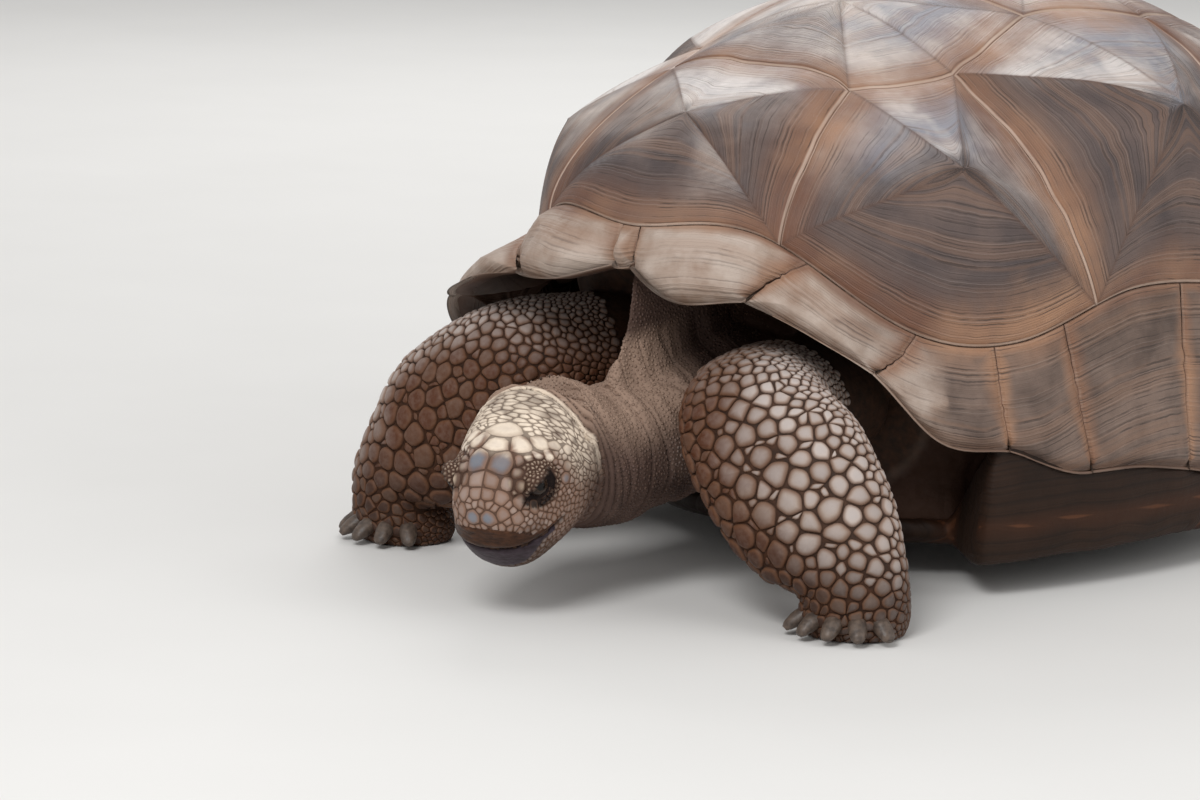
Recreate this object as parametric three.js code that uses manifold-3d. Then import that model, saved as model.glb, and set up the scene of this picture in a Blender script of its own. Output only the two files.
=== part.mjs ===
// A life-size still model of a full-grown Aldabra giant tortoise, standing low with its head down to graze.
// Millimetres, +Z up. The animal faces -Y and its left side is +X. The exported group is shifted at the end so
// that the origin is the middle of the footprint, on the floor.
// The carapace is built as its separate horny scutes, each a solid plate; the flesh is lofted and parted with
// thin cuts, so that neighbouring solids meet without touching.
import * as THREE from "three";
import Module from "manifold-3d";
import { mergeVertices } from "three/addons/utils/BufferGeometryUtils.js";

const wasm = await Module();
wasm.setup();

// ---------------------------------------------------------------- driving dimensions
const GAP = 0.35; // left between neighbouring solids
const FLOOR = 0;
const UP = new THREE.Vector3(0, 0, 1);
const DOWN = new THREE.Vector3(0, 0, -1);

const SHELL = {
  halfWidth: 370, // at the furrow above the marginal scutes
  front: 585, // from the widest place forward to that furrow
  rear: 470, // and back to it
  middle: 80, // Y of the widest place
  top: 630, // height of the crown
  heart: new THREE.Vector3(0, 80, 250), // plates are thickened towards this point
  planPower: 2.08, // 2 is an ellipse, more is boxier
  frontPower: 1.6, // profile of the dome over the neck
  sidePower: 2.3, // and over the flanks
  plate: 14, // thickness of a dome plate
  rimPlate: 30, // thickness of a marginal plate at the rim
};

// Going round the shell, 0 degrees is the front and 180 the rear.
// The rim in front of the right leg flares wider than on the left: old shells are seldom even.
const FURROW_HEIGHT = around({ 0: 398, 22: 400, 45: 291, 58: 278, 75: 325, 95: 312, 130: 305, 180: 300 });
const RIM_FLARE = around(
  { 0: 15, 12: 28, 20: 32, 30: 32, 38: 36, 46: 32, 56: 28, 75: 24, 95: 20, 130: 40, 180: 45 },
  { 0: 15, 12: 34, 20: 46, 30: 70, 38: 100, 46: 84, 56: 48, 75: 28, 95: 20, 130: 40, 180: 45 },
);
const RIM_DROP = around(
  { 0: 40, 12: 73, 20: 70, 30: 64, 38: 68, 46: 103, 56: 113, 67: 173, 83: 209, 99: 206, 130: 130, 180: 110 },
  { 0: 40, 12: 67, 20: 72, 30: 52, 38: 46, 46: 72, 56: 108, 67: 173, 83: 209, 99: 206, 130: 130, 180: 110 },
);

const PLASTRON = { bottom: 38, top: 68, bridgeFrom: 54, bridgeTo: 110, bridgeBlend: 4, underRim: 7 };

const COLOURS = {
  scute: 0x8d7867,
  plastron: 0x5f4433,
  skin: 0x8a7262,
  beak: 0x7d6350,
  eye: 0x14100e,
};
const MATERIALS = Object.fromEntries(
  Object.entries(COLOURS).map(([name, color]) => [
    name,
    new THREE.MeshStandardMaterial({ color, roughness: name === "eye" ? 0.1 : 0.7, metalness: 0 }),
  ]),
);

// ---------------------------------------------------------------- small helpers
function vec(x, y, z) {
  return new THREE.Vector3(x, y, z);
}

function radians(degrees) {
  return THREE.MathUtils.degToRad(degrees);
}

// A smooth curve through values at the places of knots, level at both ends.
function smoothThrough(knots, values) {
  const last = knots.length - 1;
  const slope = (i) =>
    i === 0 || i === last ? 0 : (values[i + 1] - values[i - 1]) / (knots[i + 1] - knots[i - 1]);
  return (at) => {
    const x = THREE.MathUtils.clamp(at, knots[0], knots[last]);
    let i = 0;
    while (i < last - 1 && x > knots[i + 1]) i++;
    const width = knots[i + 1] - knots[i];
    const t = (x - knots[i]) / width;
    const rest = 1 - t;
    return (
      values[i] * rest * rest * (1 + 2 * t) +
      values[i + 1] * t * t * (3 - 2 * t) +
      width * t * rest * (slope(i) * rest - slope(i + 1) * t)
    );
  };
}

// The same, as a function of the angle round the shell, from values keyed by degrees on the left and the right.
function around(left, right = left) {
  const [onLeft, onRight] = [left, right].map((values) =>
    smoothThrough(Object.keys(values).map(Number), Object.values(values)),
  );
  return (angle) => (angle < 0 ? onRight : onLeft)(Math.abs(angle) * THREE.MathUtils.RAD2DEG);
}

// Radius of a unit superellipse in the direction whose sine and cosine are given.
function superellipse(sine, cosine, power) {
  return (Math.abs(sine) ** power + Math.abs(cosine) ** power) ** (-1 / power);
}

// ---------------------------------------------------------------- the shell's form
// The scute map is a plan of the carapace on a disc. Map radius 0 is the crown and 1 the furrow above the marginal
// scutes; from 1 to 2 it runs down those scutes to the rim. Map angle 0 is the front.
function mapPoint(degrees, radius) {
  const angle = radians(degrees);
  return new THREE.Vector2(radius * Math.sin(angle), -radius * Math.cos(angle));
}

function furrowPlan(angle, share = 1) {
  const sine = Math.sin(angle);
  const cosine = Math.cos(angle);
  const reach = superellipse(sine, cosine, SHELL.planPower) * share;
  const length = cosine > 0 ? SHELL.front : SHELL.rear;
  return new THREE.Vector2(SHELL.halfWidth * reach * sine, SHELL.middle - length * reach * cosine);
}

function outward(angle) {
  const step = 1e-3;
  const along = furrowPlan(angle + step).sub(furrowPlan(angle - step));
  return new THREE.Vector2(along.y, -along.x).normalize();
}

// The shell's smooth outer surface, before the scutes rise from it.
function shellPoint(place) {
  const radius = place.length();
  const angle = Math.atan2(place.x, -place.y);
  const base = FURROW_HEIGHT(angle);
  if (radius <= 1) {
    const climb = (radius * Math.PI) / 2;
    const frontness = Math.max(0, Math.cos(angle)) ** 2;
    const power = THREE.MathUtils.lerp(SHELL.sidePower, SHELL.frontPower, frontness);
    const reach = superellipse(Math.sin(climb), Math.cos(climb), power);
    const plan = furrowPlan(angle, reach * Math.sin(climb));
    return vec(plan.x, plan.y, base + (SHELL.top - base) * reach * Math.cos(climb));
  }
  const down = radius - 1;
  const plan = furrowPlan(angle).addScaledVector(outward(angle), RIM_FLARE(angle) * down);
  return vec(plan.x, plan.y, base - RIM_DROP(angle) * down);
}

function towardsHeart(point, depth) {
  return point.clone().add(SHELL.heart.clone().sub(point).setLength(depth));
}

function plateThickness(place) {
  const down = THREE.MathUtils.clamp(place.length() - 1, 0, 1);
  return THREE.MathUtils.lerp(SHELL.plate, SHELL.rimPlate, down);
}

// ---------------------------------------------------------------- scute map
// Corners of the scutes on the left side, as [degrees, map radius].
const CORNER = {
  v1Front: [25.5, 1],
  v1v2: [28, 0.535],
  c1c2Top: [47.7, 0.44],
  v2v3: [69, 0.29],
  c2c3Top: [110, 0.35],
  v3v4: [138, 0.4],
  c3c4Top: [146, 0.6],
  v4v5: [163, 0.7],
  v5Rear: [150, 1],
  c1c2Foot: [69, 1],
  c2c3Foot: [101, 1],
  c3c4Foot: [130, 1],
};
// Seams between marginal scutes from the nuchal scute round to the tail: [degrees at the furrow, at the rim].
const MARGINAL_SEAMS = [
  [1.8, 1.7],
  [29.5, 20.8],
  [44.4, 37.6],
  [54.9, 55.7],
  [64.4, 67.3],
  [82.5, 83],
  [98, 98.5],
  [112, 113],
  [126, 127],
  [139.5, 141],
  [153.5, 155],
  [168, 168.5],
];
const MOST_FURROW_STEP = 9; // degrees
const SUTURE_STEPS = 3;

// Every angle at which scutes of the two rings share a point on the furrow, so that their edges match.
const furrowAngles = (() => {
  const corners = Object.values(CORNER).filter(([, radius]) => radius === 1);
  const left = [...corners, ...MARGINAL_SEAMS].map(([degrees]) => degrees);
  const all = [...left, ...left.map((degrees) => 360 - degrees)].sort((a, b) => a - b);
  all.push(all[0] + 360);
  const filled = [];
  for (let i = 0; i + 1 < all.length; i++) {
    const parts = Math.ceil((all[i + 1] - all[i]) / MOST_FURROW_STEP);
    for (let k = 0; k < parts; k++) filled.push(all[i] + ((all[i + 1] - all[i]) * k) / parts);
  }
  return filled;
})();

// Places on the furrow from one angle up to another; the last one is left to the next side of the outline.
function alongFurrow(from, to) {
  const turned = [...furrowAngles.map((degrees) => degrees - 360), ...furrowAngles];
  return turned
    .filter((degrees) => degrees > from - 1e-6 && degrees < to - 1e-6)
    .map((degrees) => mapPoint(degrees, 1));
}

function alongSuture(a, b, steps = SUTURE_STEPS) {
  return Array.from({ length: steps }, (_, i) => a.clone().lerp(b, i / steps));
}

function alongSeam(seam, fromRadius, toRadius, side, steps = 2) {
  return Array.from({ length: steps }, (_, i) => {
    const radius = THREE.MathUtils.lerp(fromRadius, toRadius, i / steps);
    return mapPoint(side * THREE.MathUtils.lerp(seam[0], seam[1], radius - 1), radius);
  });
}

function corner(name, side = 1) {
  const [degrees, radius] = CORNER[name];
  return mapPoint(side * degrees, radius);
}

function mirrored(places) {
  return places.map((place) => new THREE.Vector2(-place.x, place.y)).reverse();
}

// An outline that is alike on both sides, from its left half given front to rear.
function bothSides(names) {
  const left = names.map((name) => corner(name));
  const right = names.map((name) => corner(name, -1)).reverse();
  const loop = [...left, ...right];
  return loop.flatMap((place, i) => alongSuture(place, loop[(i + 1) % loop.length]));
}

function costal(names, fromFoot, toFoot) {
  const top = names.map((name) => corner(name));
  const upper = [corner(toFoot), ...top, corner(fromFoot)];
  const sides = upper.slice(0, -1).flatMap((place, i) => alongSuture(place, upper[i + 1]));
  return [...alongFurrow(CORNER[fromFoot][0], CORNER[toFoot][0]), ...sides];
}

function marginal(seam, next) {
  const rimSteps = Math.max(2, Math.round((next[1] - seam[1]) / 5));
  const rim = Array.from({ length: rimSteps }, (_, i) =>
    mapPoint(THREE.MathUtils.lerp(next[1], seam[1], i / rimSteps), 2),
  );
  return [
    ...alongFurrow(seam[0], next[0]),
    ...alongSeam(next, 1, 2, 1),
    ...rim,
    ...alongSeam(seam, 2, 1, 1),
  ];
}

// Each scute: its outline on the map, its areola (the old centre that it grew from) and how far that rises.
const SCUTES = (() => {
  const list = [];
  const v1 = [
    ...alongFurrow(-CORNER.v1Front[0], CORNER.v1Front[0]),
    ...alongSuture(corner("v1Front"), corner("v1v2")),
    ...alongSuture(corner("v1v2"), corner("v1v2", -1)),
    ...alongSuture(corner("v1v2", -1), corner("v1Front", -1)),
  ];
  const v5 = [
    ...alongFurrow(CORNER.v5Rear[0], 360 - CORNER.v5Rear[0]),
    ...alongSuture(corner("v5Rear", -1), corner("v4v5", -1)),
    ...alongSuture(corner("v4v5", -1), corner("v4v5")),
    ...alongSuture(corner("v4v5"), corner("v5Rear")),
  ];
  const on = (name, outline, areola, rise) => list.push({ name, outline, areola, rise });
  on("vertebral_1", v1, mapPoint(0, 0.68), 22);
  on("vertebral_2", bothSides(["v1v2", "c1c2Top", "v2v3"]), mapPoint(0, 0.26), 20);
  on("vertebral_3", bothSides(["v2v3", "c2c3Top", "v3v4"]), mapPoint(180, 0.12), 20);
  on("vertebral_4", bothSides(["v3v4", "c3c4Top", "v4v5"]), mapPoint(180, 0.5), 20);
  on("vertebral_5", v5, mapPoint(180, 0.82), 22);
  const costals = [
    [costal(["c1c2Top", "v1v2"], "v1Front", "c1c2Foot"), mapPoint(50, 0.68), 46],
    [costal(["c2c3Top", "v2v3", "c1c2Top"], "c1c2Foot", "c2c3Foot"), mapPoint(84, 0.63), 34],
    [costal(["c3c4Top", "v3v4", "c2c3Top"], "c2c3Foot", "c3c4Foot"), mapPoint(117, 0.64), 32],
    [costal(["v4v5", "c3c4Top"], "c3c4Foot", "v5Rear"), mapPoint(141, 0.8), 26],
  ];
  const pair = (name, outline, areola, rise) => {
    on(name.replace("#", "left"), outline, areola, rise);
    on(name.replace("#", "right"), mirrored(outline), new THREE.Vector2(-areola.x, areola.y), rise);
  };
  costals.forEach(([outline, areola, rise], i) => pair(`costal_#_${i + 1}`, outline, areola, rise));
  MARGINAL_SEAMS.slice(0, -1).forEach((seam, i) => {
    const next = MARGINAL_SEAMS[i + 1];
    const middle = (seam[0] + seam[1] + next[0] + next[1]) / 4;
    pair(`marginal_#_${i + 1}`, marginal(seam, next), mapPoint(middle, 1.55), i < 2 ? 14 : 7);
  });
  const [nuchalEdge] = MARGINAL_SEAMS;
  const tailEdge = MARGINAL_SEAMS.at(-1);
  const minus = (seam) => seam.map((degrees) => -degrees);
  const beyond = (seam) => seam.map((degrees) => 360 - degrees);
  on("nuchal", marginal(minus(nuchalEdge), nuchalEdge), mapPoint(0, 1.5), 5);
  on("supracaudal", marginal(tailEdge, beyond(tailEdge)), mapPoint(180, 1.5), 12);
  return list;
})();

// ---------------------------------------------------------------- solids from rings of points
function geometryOf(points, faces) {
  const geometry = new THREE.BufferGeometry();
  const numbers = points.flatMap((p) => p.toArray());
  geometry.setAttribute("position", new THREE.Float32BufferAttribute(numbers, 3));
  geometry.setIndex(faces.flat());
  return geometry;
}

// A closed body through rings with one number of points each, ended by a point at each end.
function throughRings(start, rings, end) {
  const count = rings[0].length;
  const points = [start, ...rings.flat(), end];
  const at = (ring, i) => 1 + ring * count + (i % count);
  const faces = [];
  for (let i = 0; i < count; i++) {
    faces.push([0, at(0, i + 1), at(0, i)]);
    for (let ring = 0; ring + 1 < rings.length; ring++) {
      faces.push([at(ring, i), at(ring, i + 1), at(ring + 1, i + 1)]);
      faces.push([at(ring, i), at(ring + 1, i + 1), at(ring + 1, i)]);
    }
    faces.push([points.length - 1, at(rings.length - 1, i), at(rings.length - 1, i + 1)]);
  }
  return geometryOf(points, faces);
}

function solid(geometry) {
  const bare = geometry.clone();
  for (const name of Object.keys(bare.attributes)) if (name !== "position") bare.deleteAttribute(name);
  const merged = mergeVertices(bare, 1e-4);
  const mesh = new wasm.Mesh({
    numProp: 3,
    vertProperties: merged.attributes.position.array,
    triVerts: new Uint32Array(merged.index.array),
  });
  const made = new wasm.Manifold(mesh);
  if (made.volume() >= 0) return made;
  const turned = mesh.triVerts.slice();
  for (let i = 0; i < turned.length; i += 3) {
    [turned[i + 1], turned[i + 2]] = [turned[i + 2], turned[i + 1]];
  }
  const flipped = { numProp: 3, vertProperties: mesh.vertProperties, triVerts: turned };
  return new wasm.Manifold(new wasm.Mesh(flipped));
}

function geometryFrom(manifold) {
  const mesh = manifold.getMesh();
  const geometry = new THREE.BufferGeometry();
  const positions = new Float32Array(mesh.numVert * 3);
  for (let i = 0; i < mesh.numVert; i++) {
    positions.set(mesh.vertProperties.subarray(i * mesh.numProp, i * mesh.numProp + 3), i * 3);
  }
  geometry.setAttribute("position", new THREE.BufferAttribute(positions, 3));
  geometry.setIndex(new THREE.BufferAttribute(new Uint32Array(mesh.triVerts), 1));
  return geometry;
}

function without(body, ...others) {
  return others.reduce((left, other) => left.subtract(other), body);
}

// The largest separate piece, since a cut can leave slivers.
function mainPiece(body) {
  return body.decompose().reduce((a, b) => (b.volume() > a.volume() ? b : a));
}

// The half of space on the side of a plane that its normal points to, as a large box.
function halfSpace(point, normal) {
  const size = 4000;
  const box = new THREE.BoxGeometry(size, size, size);
  const turn = new THREE.Quaternion().setFromUnitVectors(vec(0, 0, 1), normal.clone().normalize());
  box.translate(0, 0, size / 2).applyQuaternion(turn).translate(point.x, point.y, point.z);
  return solid(box);
}

// ---------------------------------------------------------------- carapace
const SCUTE_RINGS = [0.5, 1]; // shares of the way from areola to edge
const RELIEF_POWER = 1.5; // 1 raises a scute as a straight cone, more as a cushion
const FACET = 0.5; // 0 keeps the facets of a scute as round as the shell, 1 makes them flat

// The outer surface of a scute on the way from its areola to a place on its edge.
function scutePoint({ areola, rise }, edge, share) {
  const swell = rise * (1 - share ** RELIEF_POWER);
  const round = towardsHeart(shellPoint(areola.clone().lerp(edge, share)), -swell);
  const flat = towardsHeart(shellPoint(areola), -rise).lerp(shellPoint(edge), share);
  return round.lerp(flat, FACET);
}

function scuteGeometry(scute) {
  const { outline, areola } = scute;
  const middle = shellPoint(areola);
  const ring = (share, under) =>
    outline.map((edge) => {
      const limit = 1 - (0.75 * GAP) / shellPoint(edge).distanceTo(middle);
      const reach = Math.min(share, limit);
      const outer = scutePoint(scute, edge, reach);
      return under ? towardsHeart(outer, plateThickness(areola.clone().lerp(edge, reach))) : outer;
    });
  const tops = SCUTE_RINGS.map((share) => ring(share, false));
  const peak = scutePoint(scute, outline[0], 0);
  return throughRings(peak, [...tops, ring(1, true)], towardsHeart(peak, plateThickness(areola)));
}

// ---------------------------------------------------------------- plastron and its bridges
const ROUND = 40; // points in a ring round the trunk
const ringAngles = Array.from({ length: ROUND }, (_, i) => (i / ROUND) * 2 * Math.PI - Math.PI);

// Share of the furrow's plan that the plastron reaches in its front and hind lobes. The bridges between them reach
// out to the marginal scutes.
const lobeReach = around({ 0: 0.66, 30: 0.7, 54: 0.8, 90: 0.86, 110: 0.8, 126: 0.66, 150: 0.68, 180: 0.7 });

function bridgeShare(angle) {
  const degrees = Math.abs(angle) * THREE.MathUtils.RAD2DEG;
  const { bridgeFrom, bridgeTo, bridgeBlend } = PLASTRON;
  const rising = THREE.MathUtils.smoothstep(degrees, bridgeFrom - bridgeBlend, bridgeFrom);
  const falling = THREE.MathUtils.smoothstep(degrees, bridgeTo, bridgeTo + bridgeBlend);
  return rising - falling;
}

function plastronGeometry() {
  const flat = (angle, share, z) => {
    const plan = furrowPlan(angle, share);
    return vec(plan.x, plan.y, z);
  };
  // A point just under the rim of the marginal plates, at a depth into them.
  const underRim = (angle, depth) => {
    const rim = towardsHeart(shellPoint(mapPoint(angle * THREE.MathUtils.RAD2DEG, 2)), depth);
    return rim.add(vec(0, 0, -PLASTRON.underRim));
  };
  const ring = (lobe, lobeZ, bridge) =>
    ringAngles.map((angle) =>
      flat(angle, lobeReach(angle) * lobe, lobeZ).lerp(bridge(angle), bridgeShare(angle)),
    );
  const level = (share, z) => (angle) => flat(angle, share, z);
  const rings = [
    ring(0.93, PLASTRON.bottom, level(0.93, PLASTRON.bottom)),
    ring(1, PLASTRON.bottom + 11, level(1.03, PLASTRON.bottom + 14)),
    ring(1, PLASTRON.top - 6, (angle) => underRim(angle, 6)),
    ring(0.97, PLASTRON.top, (angle) => underRim(angle, 22)),
    ring(0.9, PLASTRON.top, level(0.92, PLASTRON.top + 14)),
    ring(0.85, PLASTRON.top, level(0.86, PLASTRON.top)),
  ];
  const centre = (z) => vec(0, SHELL.middle, z);
  return throughRings(centre(PLASTRON.bottom), rings, centre(PLASTRON.top));
}

// ---------------------------------------------------------------- lofted flesh
// A loft runs through stations { at, wide, deep, face, power, along }: a centre, two half sizes, the way its broad
// side faces, how boxy it is and, where it isn't along the spine, the way its section looks. Rings are added
// between stations on smooth curves, and grow fattens the whole.
function loft(stations, { sides = 16, perSpan = 3, grow = 0 } = {}) {
  const spine = new THREE.CatmullRomCurve3(stations.map((s) => s.at), false, "centripetal");
  const knots = stations.map((_, i) => i);
  const curve = (value) => smoothEnds(knots, stations.map(value));
  const wide = curve((s) => s.wide);
  const deep = curve((s) => s.deep);
  const power = curve((s) => s.power ?? 2);
  const ways = stations.map((s, i) => s.along ?? spine.getTangent(i / (stations.length - 1)));
  const axes = ["x", "y", "z"];
  const facing = axes.map((axis) => curve((s) => s.face[axis]));
  const looking = axes.map((axis) => smoothEnds(knots, ways.map((way) => way[axis])));
  const count = (stations.length - 1) * perSpan;
  const rings = [];
  for (let i = 0; i <= count; i++) {
    const station = i / perSpan;
    const share = i / count;
    const centre = spine.getPoint(share);
    const along = vec(...looking.map((f) => f(station))).normalize();
    const face = vec(...facing.map((f) => f(station)));
    const across = face.clone().cross(along).normalize();
    const front = along.clone().cross(across).normalize();
    rings.push(
      Array.from({ length: sides }, (_, k) => {
        const angle = (k / sides) * 2 * Math.PI;
        const [sine, cosine] = [Math.sin(angle), Math.cos(angle)];
        const reach = superellipse(sine, cosine, power(station));
        return centre
          .clone()
          .addScaledVector(across, (wide(station) + grow) * reach * cosine)
          .addScaledVector(front, (deep(station) + grow) * reach * sine);
      }),
    );
  }
  const first = spine.getPoint(0).addScaledVector(ways[0], -grow);
  const last = spine.getPoint(1).addScaledVector(ways.at(-1), grow);
  return solid(throughRings(first, rings, last));
}

const LEG_LOFT = { sides: 14, perSpan: 2 };
const HEAD_LOFT = { sides: 20, perSpan: 1 };

// As smoothThrough, but free to slope at both ends.
function smoothEnds(knots, values) {
  const last = knots.length - 1;
  const padded = [2 * values[0] - values[1], ...values, 2 * values[last] - values[last - 1]];
  const places = [2 * knots[0] - knots[1], ...knots, 2 * knots[last] - knots[last - 1]];
  return smoothThrough(places, padded);
}

// ---------------------------------------------------------------- legs
// Each leg is one loft from inside the trunk to the floor, parted above the foot. side is 1 on the left.
function frontLeg({ side, sole, wrist, forearm, elbow, shoulder, root, faceOut }) {
  const face = vec(side * faceOut, -1, 0.15);
  return {
    stations: [
      { at: root, wide: 80, deep: 72, face: vec(0, -0.3, 1) },
      { at: shoulder, wide: 82, deep: 70, face: vec(side * 0.2, -0.6, 1) },
      { at: elbow, wide: 84, deep: 66, face: vec(side * faceOut, -1, 0.75), power: 2.1 },
      { at: forearm, wide: 94, deep: 64, face, power: 2.1 },
      { at: wrist.clone().lerp(forearm, 0.42), wide: 84, deep: 60, face, power: 2.1 },
      { at: wrist, wide: 61, deep: 54, face, power: 2.1 },
      { at: sole.clone().setZ(22), wide: 61, deep: 58, face, power: 2.2, along: DOWN },
      { at: sole.clone().setZ(FLOOR), wide: 56, deep: 53, face, power: 2.2, along: DOWN },
    ],
    sole,
    side,
    ankle: 62,
    claws: { count: 5, towards: vec(side * faceOut * 0.5, -1, 0), spread: 105, reach: 50, length: 25, width: 10 },
  };
}

function hindLeg({ side, sole, knee, thigh, root }) {
  const face = vec(side * 0.35, 1, 0);
  return {
    stations: [
      { at: root, wide: 84, deep: 80, face },
      { at: thigh, wide: 86, deep: 82, face },
      { at: knee, wide: 76, deep: 78, face },
      { at: sole.clone().setZ(88), wide: 69, deep: 71, face },
      { at: sole.clone().setZ(30), wide: 71, deep: 74, face, along: DOWN },
      { at: sole.clone().setZ(FLOOR), wide: 67, deep: 70, face, along: DOWN },
    ],
    sole,
    side,
    ankle: 88,
    claws: { count: 4, towards: vec(side * 0.25, -1, 0), spread: 95, reach: 66, length: 24, width: 12 },
  };
}

const LEGS = {
  front_left: frontLeg({
    side: 1,
    sole: vec(306, -494, 0),
    wrist: vec(306, -500, 62),
    forearm: vec(216, -496, 156),
    elbow: vec(152, -474, 206),
    shoulder: vec(116, -380, 206),
    root: vec(105, -280, 200),
    faceOut: 0.5,
  }),
  front_right: frontLeg({
    side: -1,
    sole: vec(-345, -476, 0),
    wrist: vec(-350, -478, 62),
    forearm: vec(-284, -466, 150),
    elbow: vec(-214, -440, 212),
    shoulder: vec(-160, -360, 222),
    root: vec(-120, -280, 208),
    faceOut: 0.25,
  }),
  hind_left: hindLeg({
    side: 1,
    sole: vec(244, 366, 0),
    knee: vec(234, 344, 142),
    thigh: vec(192, 300, 206),
    root: vec(135, 255, 232),
  }),
  hind_right: hindLeg({
    side: -1,
    sole: vec(-244, 398, 0),
    knee: vec(-232, 366, 142),
    thigh: vec(-192, 312, 206),
    root: vec(-135, 262, 232),
  }),
};

// Claws stand in a fan round the front of the sole. Each is a short blunt nail that rests on the floor.
function clawSolids({ sole, claws }) {
  const { count, towards, spread, reach, length, width } = claws;
  return Array.from({ length: count }, (_, i) => {
    const turn = radians(spread * (i / (count - 1) - 0.5));
    const way = towards.clone().normalize().applyAxisAngle(vec(0, 0, 1), turn);
    const rootAt = sole.clone().addScaledVector(way, reach - 14).setZ(24);
    const middle = sole.clone().addScaledVector(way, reach + length * 0.45).setZ(17);
    const tip = sole.clone().addScaledVector(way, reach + length).setZ(6);
    const face = vec(0, 0, 1);
    const stations = [
      { at: rootAt, wide: width, deep: width * 0.95, face },
      { at: middle, wide: width * 0.95, deep: width * 0.8, face },
      { at: tip, wide: width * 0.55, deep: width * 0.42, face },
    ];
    return loft(stations, { sides: 6, perSpan: 1 });
  });
}

// ---------------------------------------------------------------- head and neck
// The head has its own frame: X runs forward along it, Y to its left and Z up, from the tip of the nose.
const HEAD = { nose: vec(14.5, -757, 115), turn: 15, nod: 33 };
const headFrame = (() => {
  const [turn, nod] = [radians(HEAD.turn), radians(HEAD.nod)];
  const forward = vec(Math.sin(turn) * Math.cos(nod), -Math.cos(turn) * Math.cos(nod), -Math.sin(nod));
  const left = vec(Math.cos(turn), Math.sin(turn), 0);
  const up = forward.clone().cross(left);
  return new THREE.Matrix4().makeBasis(forward, left, up).setPosition(HEAD.nose);
})();

function inHead(x, y, z) {
  return vec(x, y, z).applyMatrix4(headFrame);
}

function headWay(x, y, z) {
  return vec(x, y, z).transformDirection(headFrame);
}

// Profile of the head from the snout back to the nape: [distance back, half width, top, bottom].
const HEAD_PROFILE = [
  [0, 18, 1, -38],
  [5, 30, 11, -60],
  [15, 42, 23, -82],
  [32, 52, 36, -95],
  [52, 59, 43, -102],
  [78, 67, 45, -107],
  [106, 73, 44, -109],
  [138, 74, 45, -109],
  [168, 71, 44, -104],
];

function headStations() {
  return HEAD_PROFILE.map(([back, half, top, bottom]) => ({
    at: inHead(-back, 0, (top + bottom) / 2),
    wide: half,
    deep: (top - bottom) / 2,
    face: headWay(0, 0, 1),
    along: headWay(-1, 0, 0),
    power: 2.15,
  }));
}

const EYE = { radius: 13, back: 51, side: 46, up: 11 };
const MOUTH = { tip: -42, slope: 0.12 }; // height at the tip, and its fall towards the corners
const BEAK = {
  upper: { at: [-24, 0, -30], faces: [1, 0, -1.2] },
  lower: { at: [-34, 0, -45], faces: [1, 0, 0.67] },
};

const NECK = [
  { at: vec(0, -262, 206), wide: 92, deep: 86, face: vec(0, 0, 1) },
  { at: vec(-2, -380, 182), wide: 86, deep: 84, face: vec(0, 0, 1) },
  { at: vec(-6, -480, 160), wide: 77, deep: 76, face: vec(0, 0, 1) },
  { at: vec(-12, -556, 150), wide: 74, deep: 77, face: vec(0, -0.1, 1) },
  { at: inHead(-148, 0, -30), wide: 84, deep: 82, face: headWay(0, 0, 1) },
];
// The loose skin that rises from the top of the neck to the nuchal scute.
const NAPE_FOLD = [
  { at: vec(-2, -425, 175), wide: 130, deep: 46, face: vec(1, 0, 0), along: UP },
  { at: vec(0, -408, 240), wide: 124, deep: 22, face: vec(1, 0, 0), along: UP },
  { at: vec(0, -396, 285), wide: 116, deep: 11, face: vec(1, 0, 0), along: UP },
  { at: vec(0, -392, 350), wide: 112, deep: 7, face: vec(1, 0, 0), along: UP },
];

// ---------------------------------------------------------------- trunk and tail
// Share of the furrow's plan that the trunk fills at three heights: in front it is hollowed for neck and legs.
const trunkReach = {
  low: around({ 0: 0.6, 30: 0.63, 54: 0.74, 90: 0.82, 110: 0.76, 126: 0.64, 150: 0.66, 180: 0.68 }),
  middle: around({ 0: 0.64, 30: 0.7, 54: 0.86, 75: 0.94, 95: 0.95, 130: 0.84, 180: 0.76 }),
  high: around({ 0: 0.84, 22: 0.86, 45: 0.91, 75: 0.95, 95: 0.95, 130: 0.93, 180: 0.92 }),
};
const TRUNK_DOME = [0.96, 0.7, 0.38]; // map radii of its rings under the plates
const TRUNK_CLEARANCE = 24; // under the plates

function trunkGeometry() {
  const wall = (reach, z) => (angle) => {
    const plan = furrowPlan(angle, reach(angle));
    const height = typeof z === "number" ? z : z(angle);
    return vec(plan.x, plan.y, height);
  };
  const underPlates = (radius) => (angle) => {
    const place = mapPoint(angle * THREE.MathUtils.RAD2DEG, radius);
    return towardsHeart(shellPoint(place), SHELL.plate + TRUNK_CLEARANCE);
  };
  const low = PLASTRON.top + GAP;
  const rings = [
    ringAngles.map(wall((angle) => 0.8 * trunkReach.low(angle), low)),
    ringAngles.map(wall(trunkReach.low, low + 16)),
    ringAngles.map(wall(trunkReach.middle, (angle) => 0.5 * (low + FURROW_HEIGHT(angle)) + 10)),
    ringAngles.map(wall(trunkReach.high, (angle) => FURROW_HEIGHT(angle) - 36)),
    ...TRUNK_DOME.map((radius) => ringAngles.map(underPlates(radius))),
  ];
  const floor = vec(0, SHELL.middle, low);
  const crown = towardsHeart(shellPoint(mapPoint(0, 0)), SHELL.plate + TRUNK_CLEARANCE);
  return throughRings(floor, rings, crown);
}

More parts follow.
